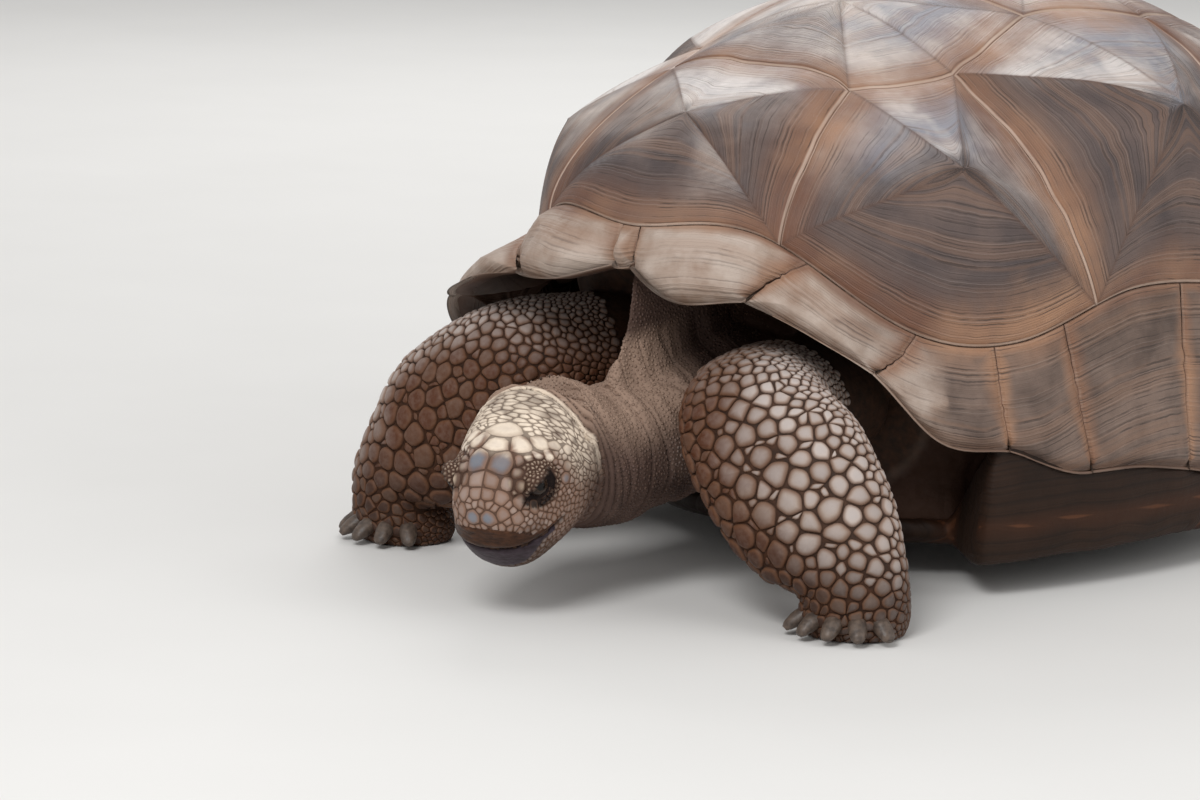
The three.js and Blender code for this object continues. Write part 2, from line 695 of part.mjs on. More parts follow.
const TAIL = [
  { at: vec(0, 430, 190), wide: 60, deep: 50, face: vec(0, 0.5, 1) },
  { at: vec(0, 500, 165), wide: 50, deep: 42, face: vec(0, 0.6, 1) },
  { at: vec(8, 560, 126), wide: 32, deep: 28, face: vec(0, 1, 0.6) },
  { at: vec(24, 590, 84), wide: 18, deep: 17, face: vec(0, 1, 0.3) },
  { at: vec(36, 600, 56), wide: 7, deep: 7, face: vec(0, 1, 0.2) },
];

// ---------------------------------------------------------------- assembly
const tortoise = new THREE.Group();

function place(name, body, material) {
  const mesh = new THREE.Mesh(geometryFrom(body), MATERIALS[material]);
  mesh.name = name;
  tortoise.add(mesh);
}

function addShell() {
  for (const scute of SCUTES) place(scute.name, solid(scuteGeometry(scute)), "scute");
  place("plastron", solid(plastronGeometry()), "plastron");
}

// Parts a body at a plane: the piece that the normal points to, and the rest.
function parted(body, point, normal) {
  const way = normal.clone().normalize();
  const far = point.clone().addScaledVector(way, GAP / 2);
  const near = point.clone().addScaledVector(way, -GAP / 2);
  return [body.intersect(halfSpace(far, way)), body.intersect(halfSpace(near, way.negate()))];
}

function addLegs() {
  for (const [name, leg] of Object.entries(LEGS)) {
    const claws = clawSolids(leg);
    const whole = loft(leg.stations, LEG_LOFT);
    const [upper, foot] = parted(whole, leg.sole.clone().setZ(leg.ankle), vec(0, 0, 1));
    const clawed = claws.reduce((body, claw) => body.add(claw), foot);
    const floored = clawed.intersect(halfSpace(vec(0, 0, FLOOR), vec(0, 0, 1)));
    place(`leg_${name}`, mainPiece(upper), "skin");
    place(`foot_${name}`, mainPiece(floored), "skin");
  }
}

function addHead() {
  const eyes = [1, -1].map((side) => {
    const ball = new THREE.SphereGeometry(EYE.radius, 11, 7);
    const centre = inHead(-EYE.back, side * EYE.side, EYE.up);
    const socket = new THREE.SphereGeometry(EYE.radius + GAP * 1.6, 11, 7);
    return {
      name: side > 0 ? "eye_left" : "eye_right",
      ball: solid(ball.translate(...centre.toArray())),
      socket: solid(socket.translate(...centre.toArray())),
    };
  });
  const whole = without(loft(headStations(), HEAD_LOFT), ...eyes.map((eye) => eye.socket));
  const [upper, lower] = parted(whole, inHead(0, 0, MOUTH.tip), headWay(-MOUTH.slope, 0, 1));
  const beakPlane = ({ at, faces }) => [inHead(...at), headWay(...faces)];
  const [beakUpper, head] = parted(upper, ...beakPlane(BEAK.upper));
  const [beakLower, jaw] = parted(lower, ...beakPlane(BEAK.lower));
  place("head", mainPiece(head), "skin");
  place("jaw", mainPiece(jaw), "skin");
  place("beak_upper", mainPiece(beakUpper), "beak");
  place("beak_lower", mainPiece(beakLower), "beak");
  for (const eye of eyes) place(eye.name, eye.ball, "eye");
}

function addTrunk() {
  const neckShape = (grow = 0) =>
    loft(NECK, { sides: 16, perSpan: 2, grow }).add(loft(NAPE_FOLD, { sides: 10, perSpan: 1, grow }));
  const tailShape = (grow = 0) => loft(TAIL, { sides: 10, perSpan: 2, grow });
  const head = loft(headStations(), { ...HEAD_LOFT, grow: GAP });
  const legs = Object.values(LEGS).map((leg) => loft(leg.stations, { ...LEG_LOFT, grow: GAP }));
  place("neck", mainPiece(without(neckShape(), head, ...legs)), "skin");
  place("tail", mainPiece(tailShape()), "skin");
  const trunk = without(solid(trunkGeometry()), ...legs, neckShape(GAP), tailShape(GAP));
  place("trunk", mainPiece(trunk), "skin");
}

addShell();
addLegs();
addHead();
addTrunk();

// The origin is the middle of the footprint, on the floor.
const box = new THREE.Box3().setFromObject(tortoise);
const middle = box.getCenter(new THREE.Vector3());
tortoise.position.set(-middle.x, -middle.y, -box.min.z);

export default tortoise;
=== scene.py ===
"""The looks of the giant tortoise: horny plates, one skin, scales, eyes, beak and claws, and a studio."""
import math
from collections import namedtuple

import bmesh
import bpy
import numpy as np
from mathutils import Matrix, Vector
from mathutils.bvhtree import BVHTree
from mathutils.kdtree import KDTree


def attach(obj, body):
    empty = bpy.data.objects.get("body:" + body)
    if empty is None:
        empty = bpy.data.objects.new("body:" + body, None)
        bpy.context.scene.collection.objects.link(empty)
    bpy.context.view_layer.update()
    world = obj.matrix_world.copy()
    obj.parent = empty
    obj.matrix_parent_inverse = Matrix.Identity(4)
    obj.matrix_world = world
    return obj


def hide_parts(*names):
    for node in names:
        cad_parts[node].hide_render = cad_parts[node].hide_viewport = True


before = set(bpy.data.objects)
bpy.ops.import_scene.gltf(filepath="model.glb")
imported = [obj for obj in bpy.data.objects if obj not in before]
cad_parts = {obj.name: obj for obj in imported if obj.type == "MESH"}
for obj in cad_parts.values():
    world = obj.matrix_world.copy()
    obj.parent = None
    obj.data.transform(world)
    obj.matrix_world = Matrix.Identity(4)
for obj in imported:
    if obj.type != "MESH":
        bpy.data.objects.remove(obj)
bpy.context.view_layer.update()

# Shapes are worked out in millimetres in the animal's own axes: X to its left, Y to its tail and Z up, with
# the shell's middle line at X 0. SHIFT takes them to the frame's origin, and MM to metres.
MM = 0.001
SHIFT = np.array((11.647, 76.935, 0.0))
UP = np.array((0.0, 0.0, 1.0))

# ---------------------------------------------------------------- sums on points and curves


def vec(*numbers):
    return np.array(numbers, float)


def length(vectors):
    return np.linalg.norm(vectors, axis=-1, keepdims=True)


def unit(vectors):
    return vectors / np.maximum(length(vectors), 1e-9)


def mix(a, b, share):
    return a + (b - a) * share


def ease(low, high, value):
    """0 below low and 1 above high, with a smooth rise between; high may be the lower one."""
    t = np.clip((value - low) / (high - low), 0, 1)
    return t * t * (3 - 2 * t)


def bump_at(value, centre, width):
    """1 at the centre, falling smoothly to 0 at a distance of width."""
    return ease(1, 0, np.abs(value - centre) / width)


def curve_through(knots, values, free_ends=False):
    """A smooth curve through values, or rows of values, at the places of knots."""
    knots = np.array(knots, float)
    values = np.array(values, float)
    if free_ends:
        knots = np.concatenate(([2 * knots[0] - knots[1]], knots, [2 * knots[-1] - knots[-2]]))
        values = np.concatenate(([2 * values[0] - values[1]], values, [2 * values[-1] - values[-2]]))
    column = (-1,) + (1,) * (values.ndim - 1)
    slopes = np.zeros_like(values)
    slopes[1:-1] = (values[2:] - values[:-2]) / (knots[2:] - knots[:-2]).reshape(column)

    def curve(at):
        x = np.clip(np.asarray(at, float), knots[0], knots[-1])
        i = np.clip(np.searchsorted(knots, x, side="right") - 1, 0, len(knots) - 2)
        width = knots[i + 1] - knots[i]
        t = (x - knots[i]) / width
        if values.ndim > 1:
            t, width = t[..., None], width[..., None]
        rest = 1 - t
        ends = values[i] * rest * rest * (1 + 2 * t) + values[i + 1] * t * t * (3 - 2 * t)
        return ends + width * t * rest * (slopes[i] * rest - slopes[i + 1] * t)

    return curve


def spine_through(points):
    """A centripetal Catmull-Rom curve: a function of the share of the way, from 0 to 1."""
    points = np.array(points, float)
    count = len(points)
    ends = np.vstack((2 * points[0] - points[1], points, 2 * points[-1] - points[-2]))

    def place(share):
        way = min(max(share, 0), 1) * (count - 1)
        i = min(int(way), count - 2)
        t = way - i
        p0, p1, p2, p3 = ends[i:i + 4]
        d0, d1, d2 = (max(float(length(b - a)[0]), 1e-8) ** 0.5 for a, b in ((p0, p1), (p1, p2), (p2, p3)))
        leave = ((p1 - p0) / d0 - (p2 - p0) / (d0 + d1) + (p2 - p1) / d1) * d1
        arrive = ((p2 - p1) / d1 - (p3 - p1) / (d1 + d2) + (p3 - p2) / d2) * d1
        fall = -3 * p1 + 3 * p2 - 2 * leave - arrive
        rise = 2 * p1 - 2 * p2 + leave + arrive
        return p1 + leave * t + fall * t * t + rise * t ** 3

    return place


def superellipse(sine, cosine, power):
    return (np.abs(sine) ** power + np.abs(cosine) ** power) ** (-1 / power)


def scramble(cells, seed):
    """A number from 0 to 1 for each whole-number cell, always the same for the same seed."""
    x, y, z = np.moveaxis(cells, -1, 0)
    with np.errstate(over="ignore"):
        mixed = x * 374761393 + y * 668265263 + z * 2147483647 + seed * 974711
        mixed = (mixed ^ (mixed >> 13)) * 1274126177
        mixed = mixed ^ (mixed >> 16)
    return (mixed & 0xFFFF) / 65535.0


def wander(points, size, seed=0):
    """Smooth noise from -1 to 1 whose lumps are about size across."""
    place = np.asarray(points, float) / size
    base = np.floor(place).astype(np.int64)
    part = place - base
    part = part * part * (3 - 2 * part)
    total = 0
    for corner in np.ndindex(2, 2, 2):
        weight = np.prod(np.where(corner, part, 1 - part), axis=-1)
        total = total + weight * scramble(base + np.array(corner), seed)
    return total * 2 - 1


# ---------------------------------------------------------------- meshes


def placed(points):
    return (np.asarray(points, float) + SHIFT) * MM


def linked(name, data):
    """A new object for a mesh, a lamp or a camera, in the scene."""
    piece = bpy.data.objects.new(name, data)
    bpy.context.scene.collection.objects.link(piece)
    return piece


def make_object(name, points, faces, attributes=None):
    """A mesh object from points in the animal's millimetres, with an attribute's numbers at its points."""
    mesh = bpy.data.meshes.new(name)
    mesh.from_pydata(placed(points).tolist(), [], faces)
    mesh.validate()
    for key, numbers in (attributes or {}).items():
        set_attribute(mesh, key, numbers)
    mesh.shade_smooth()
    return linked(name, mesh)


def read(rows, key, width, kind=np.float64):
    """The numbers that a mesh's rows hold under a key, width of them in each."""
    numbers = np.empty(len(rows) * width, kind)
    rows.foreach_get(key, numbers)
    return numbers.reshape(-1, width)


def points_of(mesh):
    return read(mesh.vertices, "co", 3) / MM - SHIFT


def normals_of(mesh):
    return read(mesh.vertex_normals, "vector", 3)


def move_points(mesh, points):
    mesh.vertices.foreach_set("co", placed(points).ravel())
    mesh.update()


def set_attribute(mesh, key, numbers):
    layer = mesh.attributes.get(key) or mesh.attributes.new(key, "FLOAT", "POINT")
    layer.data.foreach_set("value", np.asarray(numbers, np.float32).ravel())


def baked(piece):
    """The piece with its modifiers made real."""
    graph = bpy.context.evaluated_depsgraph_get()
    mesh = bpy.data.meshes.new_from_object(piece.evaluated_get(graph))
    piece.modifiers.clear()
    old = piece.data
    piece.data = mesh
    bpy.data.meshes.remove(old)
    return piece


def ring_faces(rings, count, start=0):
    """Faces between closed rings of points that follow each other, count in each."""
    faces = []
    for ring in range(rings - 1):
        a = start + ring * count
        for i in range(count):
            j = (i + 1) % count
            faces.append((a + i, a + j, a + count + j, a + count + i))
    return faces


def closed_body(rings, hubs=None):
    """Points and faces of a closed body through rings with one number of points each.

    A fan closes each end, round the hub given for it or else round the end ring's middle."""
    count = len(rings[0])
    points = np.vstack([*rings, *(hubs or (rings[0].mean(0), rings[-1].mean(0)))])
    first, last = len(points) - 2, len(points) - 1
    faces = ring_faces(len(rings), count)
    top = (len(rings) - 1) * count
    for i in range(count):
        j = (i + 1) % count
        faces.append((first, j, i))
        faces.append((last, top + i, top + j))
    return points, faces


def above_floor(points, gap):
    """The points, none of them lower than gap."""
    points[:, 2] = np.maximum(points[:, 2], gap)
    return points


def joined(bodies):
    """Points and faces of several bodies as those of one mesh."""
    points, faces = [], []
    start = 0
    for body_points, body_faces in bodies:
        points.append(body_points)
        faces += [tuple(start + i for i in face) for face in body_faces]
        start += len(body_points)
    return np.vstack(points), faces


# ---------------------------------------------------------------- the shell's form

SHELL = {
    "half_width": 370.0,
    "front": 585.0,
    "rear": 470.0,
    "middle": 80.0,
    "top": 630.0,
    "plan_power": 2.08,
    "front_power": 1.6,
    "side_power": 2.3,
    "plate": 14.0,
    "rim_plate": 30.0,
}
HEART = vec(0, 80, 250)


def around(left, right=None):
    """A function of the signed angle round the shell, from values by degrees on its left and its right."""
    sides = [curve_through(list(side), list(side.values())) for side in (left, right or left)]

    def at(angle):
        degrees = np.degrees(np.abs(angle))
        return np.where(np.asarray(angle) < 0, sides[1](degrees), sides[0](degrees))

    return at


DROP_BEHIND = {67: 173, 83: 209, 99: 206, 130: 130, 180: 110}
furrow_height = around({0: 398, 22: 400, 45: 291, 58: 278, 75: 325, 95: 312, 130: 305, 180: 300})
rim_flare = around(
    {0: 15, 12: 28, 20: 32, 30: 32, 38: 36, 46: 32, 56: 28, 75: 24, 95: 20, 130: 40, 180: 45},
    {0: 15, 12: 34, 20: 46, 30: 70, 38: 100, 46: 84, 56: 48, 75: 28, 95: 20, 130: 40, 180: 45},
)
rim_drop = around(
    {0: 40, 12: 73, 20: 70, 30: 64, 38: 68, 46: 103, 56: 113, **DROP_BEHIND},
    {0: 40, 12: 67, 20: 72, 30: 52, 38: 46, 46: 72, 56: 108, **DROP_BEHIND},
)


def furrow_plan(angle, share=1.0):
    sine, cosine = np.sin(angle), np.cos(angle)
    reach = superellipse(sine, cosine, SHELL["plan_power"]) * share
    ahead = np.where(cosine > 0, SHELL["front"], SHELL["rear"])
    return np.stack((SHELL["half_width"] * reach * sine, SHELL["middle"] - ahead * reach * cosine), -1)


def level(angle, share, height):
    """A ring round the shell's plan, at a share of its reach, with one height or one for each angle."""
    plan = furrow_plan(angle, share)
    return np.concatenate((plan, np.broadcast_to(height, angle.shape)[:, None]), -1)


def outward(angle):
    step = 1e-3
    along = furrow_plan(angle + step) - furrow_plan(angle - step)
    return unit(np.stack((along[..., 1], -along[..., 0]), -1))


def shell_point(place):
    """The shell's smooth surface over the plate map: radius 0 is the crown, 1 the furrow and 2 the rim."""
    place = np.asarray(place, float)
    radius = np.hypot(place[..., 0], place[..., 1])
    angle = np.arctan2(place[..., 0], -place[..., 1])
    base = furrow_height(angle)
    climb = np.minimum(radius, 1) * math.pi / 2
    power = mix(SHELL["side_power"], SHELL["front_power"], np.maximum(0, np.cos(angle)) ** 2)
    reach = superellipse(np.sin(climb), np.cos(climb), power)
    down = np.maximum(radius - 1, 0)
    plan = furrow_plan(angle, np.where(radius < 1, reach * np.sin(climb), 1.0))
    plan = plan + outward(angle) * (rim_flare(angle) * down)[..., None]
    dome = base + (SHELL["top"] - base) * reach * np.cos(climb)
    height = np.where(radius < 1, dome, base - rim_drop(angle) * down)
    return np.concatenate((plan, height[..., None]), -1)


def towards_heart(points, depth):
    return points + unit(HEART - points) * depth


def map_point(degrees, radius):
    angle = np.radians(degrees)
    return np.stack((radius * np.sin(angle), -radius * np.cos(angle)), -1)


# ---------------------------------------------------------------- the plates' map

CORNER = {
    "v1_front": (25.5, 1),
    "v1v2": (28, 0.535),
    "c1c2_top": (47.7, 0.44),
    "v2v3": (69, 0.29),
    "c2c3_top": (110, 0.35),
    "v3v4": (138, 0.4),
    "c3c4_top": (146, 0.6),
    "v4v5": (163, 0.7),
    "v5_rear": (150, 1),
    "c1c2_foot": (69, 1),
    "c2c3_foot": (101, 1),
    "c3c4_foot": (130, 1),
}
RIM_SEAMS = (
    (1.8, 1.7), (29.5, 20.8), (44.4, 37.6), (54.9, 55.7), (64.4, 67.3), (82.5, 83),
    (98, 98.5), (112, 113), (126, 127), (139.5, 141), (153.5, 155), (168, 168.5),
)
SIDE_SAMPLES = 60  # points on a side before it is spaced evenly

Plate = namedtuple("Plate", "name outline areola rise rim_from rim_to scallop", defaults=(None, None, 0))


def corner(name, side=1):
    degrees, radius = CORNER[name]
    return map_point(side * degrees, radius)


def furrow_side(start, end):
    return map_point(np.linspace(start, end, SIDE_SAMPLES), 1.0)


def suture(a, b):
    return mix(a, b, np.linspace(0, 1, SIDE_SAMPLES)[:, None])


def seam_side(seam, start, end):
    radius = np.linspace(start, end, SIDE_SAMPLES)
    return map_point(mix(seam[0], seam[1], radius - 1), radius)


def rim_side(start, end):
    return map_point(np.linspace(start, end, SIDE_SAMPLES), 2.0)


def sutures(places):
    return [suture(a, b) for a, b in zip(places, places[1:])]


def costal(tops, front, rear):
    corners = [corner(rear)] + [corner(name) for name in tops] + [corner(front)]
    return [furrow_side(CORNER[front][0], CORNER[rear][0])] + sutures(corners)


def marginal(seam, after):
    return [
        furrow_side(seam[0], after[0]),
        seam_side(after, 1, 2),
        rim_side(after[1], seam[1]),
        seam_side(seam, 2, 1),
    ]


def mirrored(sides):
    return [side[::-1] * vec(-1, 1) for side in reversed(sides)]


def plate_pair(kind, number, outline, areola, *rest):
    """A left plate and its mirrored right one."""
    yield Plate(f"{kind}_left_{number}", outline, areola, *rest)
    yield Plate(f"{kind}_right_{number}", mirrored(outline), areola * vec(-1, 1), *rest)


def vertebrals():
    def ringed(names):
        loop = [corner(name) for name in names] + [corner(name, -1) for name in reversed(names)]
        return sutures(loop + loop[:1])

    front, rear = CORNER["v1_front"][0], CORNER["v5_rear"][0]
    v1 = [corner("v1_front"), corner("v1v2"), corner("v1v2", -1), corner("v1_front", -1)]
    v5 = [corner("v5_rear", -1), corner("v4v5", -1), corner("v4v5"), corner("v5_rear")]
    return [
        Plate("vertebral_1", [furrow_side(-front, front)] + sutures(v1), map_point(0, 0.68), 22),
        Plate("vertebral_2", ringed(["v1v2", "c1c2_top", "v2v3"]), map_point(0, 0.26), 20),
        Plate("vertebral_3", ringed(["v2v3", "c2c3_top", "v3v4"]), map_point(180, 0.12), 20),
        Plate("vertebral_4", ringed(["v3v4", "c3c4_top", "v4v5"]), map_point(180, 0.5), 20),
        Plate("vertebral_5", [furrow_side(rear, 360 - rear)] + sutures(v5), map_point(180, 0.82), 22),
    ]


def costals():
    rows = [
        (costal(["c1c2_top", "v1v2"], "v1_front", "c1c2_foot"), map_point(50, 0.68), 46),
        (costal(["c2c3_top", "v2v3", "c1c2_top"], "c1c2_foot", "c2c3_foot"), map_point(84, 0.63), 34),
        (costal(["c3c4_top", "v3v4", "c2c3_top"], "c2c3_foot", "c3c4_foot"), map_point(117, 0.64), 32),
        (costal(["v4v5", "c3c4_top"], "c3c4_foot", "v5_rear"), map_point(141, 0.8), 26),
    ]
    return [plate for number, row in enumerate(rows, 1) for plate in plate_pair("costal", number, *row)]


def rim_plates():
    for number, (seam, after) in enumerate(zip(RIM_SEAMS, RIM_SEAMS[1:]), 1):
        areola = map_point(np.mean(seam + after), 1.55)
        rise = RIM_RISES.get(number, PLAIN_RISE)
        scallop = SCALLOPS.get(number, PLAIN_SCALLOP)
        outline, ends = marginal(seam, after), (seam[1], after[1])
        yield from plate_pair("marginal", number, outline, areola, rise, *ends, scallop)
    first, last = RIM_SEAMS[0], RIM_SEAMS[-1]
    before = tuple(-degrees for degrees in first)
    beyond = tuple(360 - degrees for degrees in last)
    for name, seam, after, degrees in (("nuchal", before, first, 0), ("supracaudal", last, beyond, 180)):
        areola = map_point(degrees, 1.5)
        yield Plate(name, marginal(seam, after), areola, RIM_RISES[name], seam[1], after[1], SCALLOPS[name])


# ---------------------------------------------------------------- horny plates

PLATE_STEP = 4.2  # between points along a plate's edge
RING_STEP = 3.4  # between rings of points
RELIEF_POWER = 1.5  # how roundly a plate swells
FACET = 0.5  # how far a plate has flat sides
GROOVE = {"depth": 3.4, "width": 7.0}
EDGE_RINGS = (5.6, 3.6, 2.0, 0.9, 0.15)  # distances from the edge at which the groove is shaped
GROWTH = {"spacing": 6.5, "height": 0.75}
LIP = {"bulge": 3.0, "front_bulge": 9.0, "curl": 26.0, "curl_drop": 10.0}
# How far a rim plate juts out between its seams, and how far its middle stands up.
SCALLOPS = {"nuchal": 9, "supracaudal": 5, 1: 15, 2: 14, 3: 7, 8: 4, 9: 7, 10: 9, 11: 9}
RIM_RISES = {"nuchal": 13, "supracaudal": 12, 1: 22, 2: 20, 3: 12}
PLAIN_SCALLOP, PLAIN_RISE = 2, 8
LUMP = {"height": 1.6, "size": 70}  # soft unevenness of the horn
CREASE = 2.6  # half width of the lines from a plate's middle to its corners
CREAM_FROM, CREAM_TO = 52, 36  # degrees round the rim between which the cream colour of its front comes in
SHORTEST_REACH = 12


def ruffle(place):
    """Seams of an old shell waver a little; the two plates that share one waver together."""
    place3 = np.concatenate((place, np.zeros(place.shape[:-1] + (1,))), -1)
    radius = length(place)
    fade = bump_at(radius, 0.5, 0.49) + bump_at(radius, 1.5, 0.48)
    shake = np.stack((wander(place3, 0.055, 3), wander(place3, 0.055, 4)), -1)
    return place + 0.006 * fade * shake


def spaced(sides):
    """A plate's outline on the map, evenly spaced on the shell, and the numbers of its corners."""
    rows, corners = [], []
    for side in sides:
        wavy = ruffle(side)
        run = np.concatenate(([0], np.cumsum(length(np.diff(shell_point(wavy), axis=0)))))
        count = max(2, round(run[-1] / PLATE_STEP))
        at = np.linspace(0, run[-1], count, endpoint=False)
        corners.append(sum(len(row) for row in rows))
        rows.append(np.stack([np.interp(at, run, wavy[:, axis]) for axis in range(2)], -1))
    return np.vstack(rows), corners


def jut(plate, spot):
    """How far a rim plate's free edge stands out between its seams."""
    angle = np.arctan2(spot[..., 0], -spot[..., 1])
    degrees = np.degrees(np.where(plate.name == "supracaudal", angle % (2 * math.pi), angle))
    if "marginal" in plate.name:
        degrees = np.abs(degrees)
    way = np.clip((degrees - plate.rim_from) / (plate.rim_to - plate.rim_from), 0, 1)
    out = plate.scallop * np.sin(math.pi * way) ** 0.7 * ease(1.25, 2.0, length(spot)[..., 0])
    plan = outward(angle)
    return np.concatenate((plan, np.full(plan.shape[:-1] + (1,), -0.35)), -1) * out[..., None]


def plate_surface(plate, edges, share):
    """The outer surface of a plate on the way from its areola to places on its edge."""
    swell = plate.rise * (1 - share ** RELIEF_POWER)
    spot = mix(plate.areola, edges, share)
    ground = shell_point(spot)
    rounded = ground + unit(ground - HEART) * swell
    if plate.rim_from is not None:
        return rounded + jut(plate, spot), spot
    centre = shell_point(plate.areola)
    peak = centre + unit(centre - HEART) * plate.rise
    return mix(rounded, mix(peak, shell_point(edges), share), FACET), spot


def growth_relief(to_edge, reach, points, seed):
    """Low ridges that run round a plate, worn away near its old centre."""
    waver = wander(points, 60, seed) * 2.2 + wander(points, 17, seed + 1) * 0.7
    phase = (to_edge + waver) / GROWTH["spacing"]
    ridge = 1 - np.abs(2 * (phase - np.floor(phase)) - 1)
    age = ease(0.9, 0.35, to_edge / np.maximum(reach, 1))
    strength = 0.35 + 0.65 * ease(-0.4, 0.5, wander(points, 90, seed + 2))
    return GROWTH["height"] * (ridge - 0.5) * age * strength


# Painted light and shade of the plates' sides, from about -1, painted shade, to about 1, painted highlight;
# left and right are alike.
FACET_LIGHT = {
    "vertebral_1": (-0.2, -0.8, 0.9, -0.3),
    "vertebral_2": (0.4, 0.7, -0.3, 0.4, -0.5, -0.4),
    "costal_1": (-1.0, 0.5, 1.3, 0.0),
    "costal_2": (-0.7, 0.3, 0.5, 0.9, -1.1),
}


def facet_light(plate, corners, count, seed):
    """At each point of a plate's edge, the painted light and shade of its side; other plates' are drawn by
    chance.
    """
    side_lights = [2 * float(scramble(np.array([seed, 5, side]), 9)) - 1 for side in range(len(corners))]
    side_lights = list(FACET_LIGHT.get(plate.name.replace("_left", "").replace("_right", ""), side_lights))
    if "_right" in plate.name:
        side_lights = side_lights[::-1]
    return np.repeat(side_lights, np.diff([*corners, count]))


def ring_shares(reach):
    """Shares of the way from a plate's middle to its edge at which its rings of points lie."""
    inner = max(4, round(reach.mean() / RING_STEP))
    reach = np.maximum(reach, SHORTEST_REACH)
    limit = 1 - EDGE_RINGS[0] / reach
    return [limit * i / inner for i in range(1, inner + 1)] + [1 - gap / reach for gap in EDGE_RINGS[1:]]


def build_plate(plate, seed):
    edges, corners = spaced(plate.outline)
    at_rim = plate.rim_from is not None
    count = len(edges)
    centre = shell_point(plate.areola)
    reach = length(shell_point(edges) - centre)[:, 0]
    rows = ring_shares(reach)
    gaps = np.abs(np.subtract.outer(np.arange(count), corners))
    corner_gap = np.minimum(gaps, count - gaps).min(1) * PLATE_STEP
    on_rim = ease(1.97, 1.995, length(edges)[:, 0]) if at_rim else np.zeros(count)
    degrees = np.degrees(np.abs(np.arctan2(edges[:, 0], -edges[:, 1])))
    cream = ease(CREAM_FROM, CREAM_TO, degrees) if at_rim else np.zeros(count)
    facet = np.zeros(count) if at_rim else facet_light(plate, corners, count, seed)
    zero = np.zeros(count)
    rings, numbers = [], {key: [] for key in ("growth", "seam", "crease", "cream", "facet", "under")}

    def keep(**rows_of_numbers):
        for key, row in rows_of_numbers.items():
            numbers[key].append(row)

    for share in rows:
        outer, spot = plate_surface(plate, edges, share[:, None])
        to_edge = (1 - share) * reach
        down = length(spot)[:, 0] - 1
        drop = rim_drop(np.arctan2(spot[:, 0], -spot[:, 1]))
        seam_near = ease(GROOVE["width"], 0, to_edge) * (1 - on_rim)
        lump = LUMP["height"] * wander(outer, LUMP["size"], seed + 5) * ease(0, 25, to_edge)
        rise = growth_relief(down * drop if at_rim else to_edge, reach, outer, seed) + lump
        rise = rise - GROOVE["depth"] * seam_near ** 1.6
        if at_rim:
            rise = rise - LIP["curl_drop"] * ease(LIP["curl"], 0, (1 - down) * drop) ** 2
        rings.append(outer + unit(outer - HEART) * rise[:, None])
        fade = ease(0.03, 0.3, share)
        keep(
            growth=down * drop if at_rim else to_edge,
            seam=to_edge + 90 * on_rim,
            crease=np.exp(-(corner_gap * share / CREASE) ** 2) * fade * (0 if at_rim else 1),
            cream=cream,
            facet=facet * fade,
            under=zero,
        )
    thickness = mix(SHELL["plate"], SHELL["rim_plate"], np.clip(length(edges) - 1, 0, 1))
    ground, _ = plate_surface(plate, edges, rows[-1][:, None])
    plan = outward(np.arctan2(edges[:, 0], -edges[:, 1]))
    ahead = np.concatenate((plan, np.zeros((count, 1))), -1)
    bulge = mix(LIP["bulge"], LIP["front_bulge"], cream) * on_rim
    for part in [0.15, 0.4, 0.7, 1.0] if at_rim else [1.0]:
        under = towards_heart(ground, thickness * part)
        rings.append(under + ahead * (bulge * math.sin(math.pi * part))[:, None])
        keep(growth=zero, seam=zero + 90, crease=zero, cream=cream, facet=zero, under=zero + part)
    middle = {"growth": numbers["growth"][0].mean(), "seam": reach.mean(), "cream": cream.mean()}
    attributes = {}
    for key, lines in numbers.items():
        hub = [middle.get(key, 0)]
        attributes[key] = np.concatenate([*lines, hub, [1.0] if key == "under" else hub])
    lump = LUMP["height"] * wander(centre, LUMP["size"], seed + 5)
    peak = centre + unit(centre - HEART) * (plate.rise + lump)
    if at_rim:
        peak = peak + jut(plate, plate.areola)
    points, faces = closed_body(rings, (peak, towards_heart(peak, SHELL["plate"])))
    attributes["rimmed"] = np.full(len(points), float(at_rim))
    piece = make_object("plate_" + plate.name, points, faces, attributes)
    turn_out(piece)
    # How much each point faces up, which the plates' painted light and shade follow.
    set_attribute(piece.data, "sky", normals_of(piece.data)[:, 2])
    return piece


def turn_out(piece):
    mesh = bmesh.new()
    mesh.from_mesh(piece.data)
    bmesh.ops.recalc_face_normals(mesh, faces=mesh.faces)
    mesh.to_mesh(piece.data)
    mesh.free()


# ---------------------------------------------------------------- flesh in lofts

Station = namedtuple("Station", "at wide deep face power along", defaults=(2.0, None))
DOWN = -UP
SMOOTH = {"sides": 72, "per_span": 10}


def loft_rings(stations, inset=0.0, sides=SMOOTH["sides"], per_span=SMOOTH["per_span"]):
    """Rings of points through stations.

    A station has a centre, two half sizes, the way its broad side faces, its boxiness and the way on."""
    spine = spine_through([station.at for station in stations])
    last = len(stations) - 1
    knots = list(range(last + 1))
    ways = []
    for i, station in enumerate(stations):
        tangent = spine(i / last + 1e-4) - spine(i / last - 1e-4)
        ways.append(unit(tangent) if station.along is None else station.along)
    sizes = curve_through(knots, [(s.wide, s.deep, s.power) for s in stations], free_ends=True)
    facing = curve_through(knots, [s.face for s in stations], free_ends=True)
    looking = curve_through(knots, ways, free_ends=True)
    angle = np.linspace(0, 2 * math.pi, sides, endpoint=False)
    rings = []
    for i in range(last * per_span + 1):
        at = i / per_span
        wide, deep, power = sizes(at)
        along = unit(looking(at))
        across = unit(np.cross(facing(at), along))
        front = unit(np.cross(along, across))
        reach = superellipse(np.sin(angle), np.cos(angle), power)[:, None]
        side = across * np.cos(angle)[:, None] * (wide - inset)
        fore = front * np.sin(angle)[:, None] * (deep - inset)
        rings.append(spine(at / last) + (side + fore) * reach)
    return rings


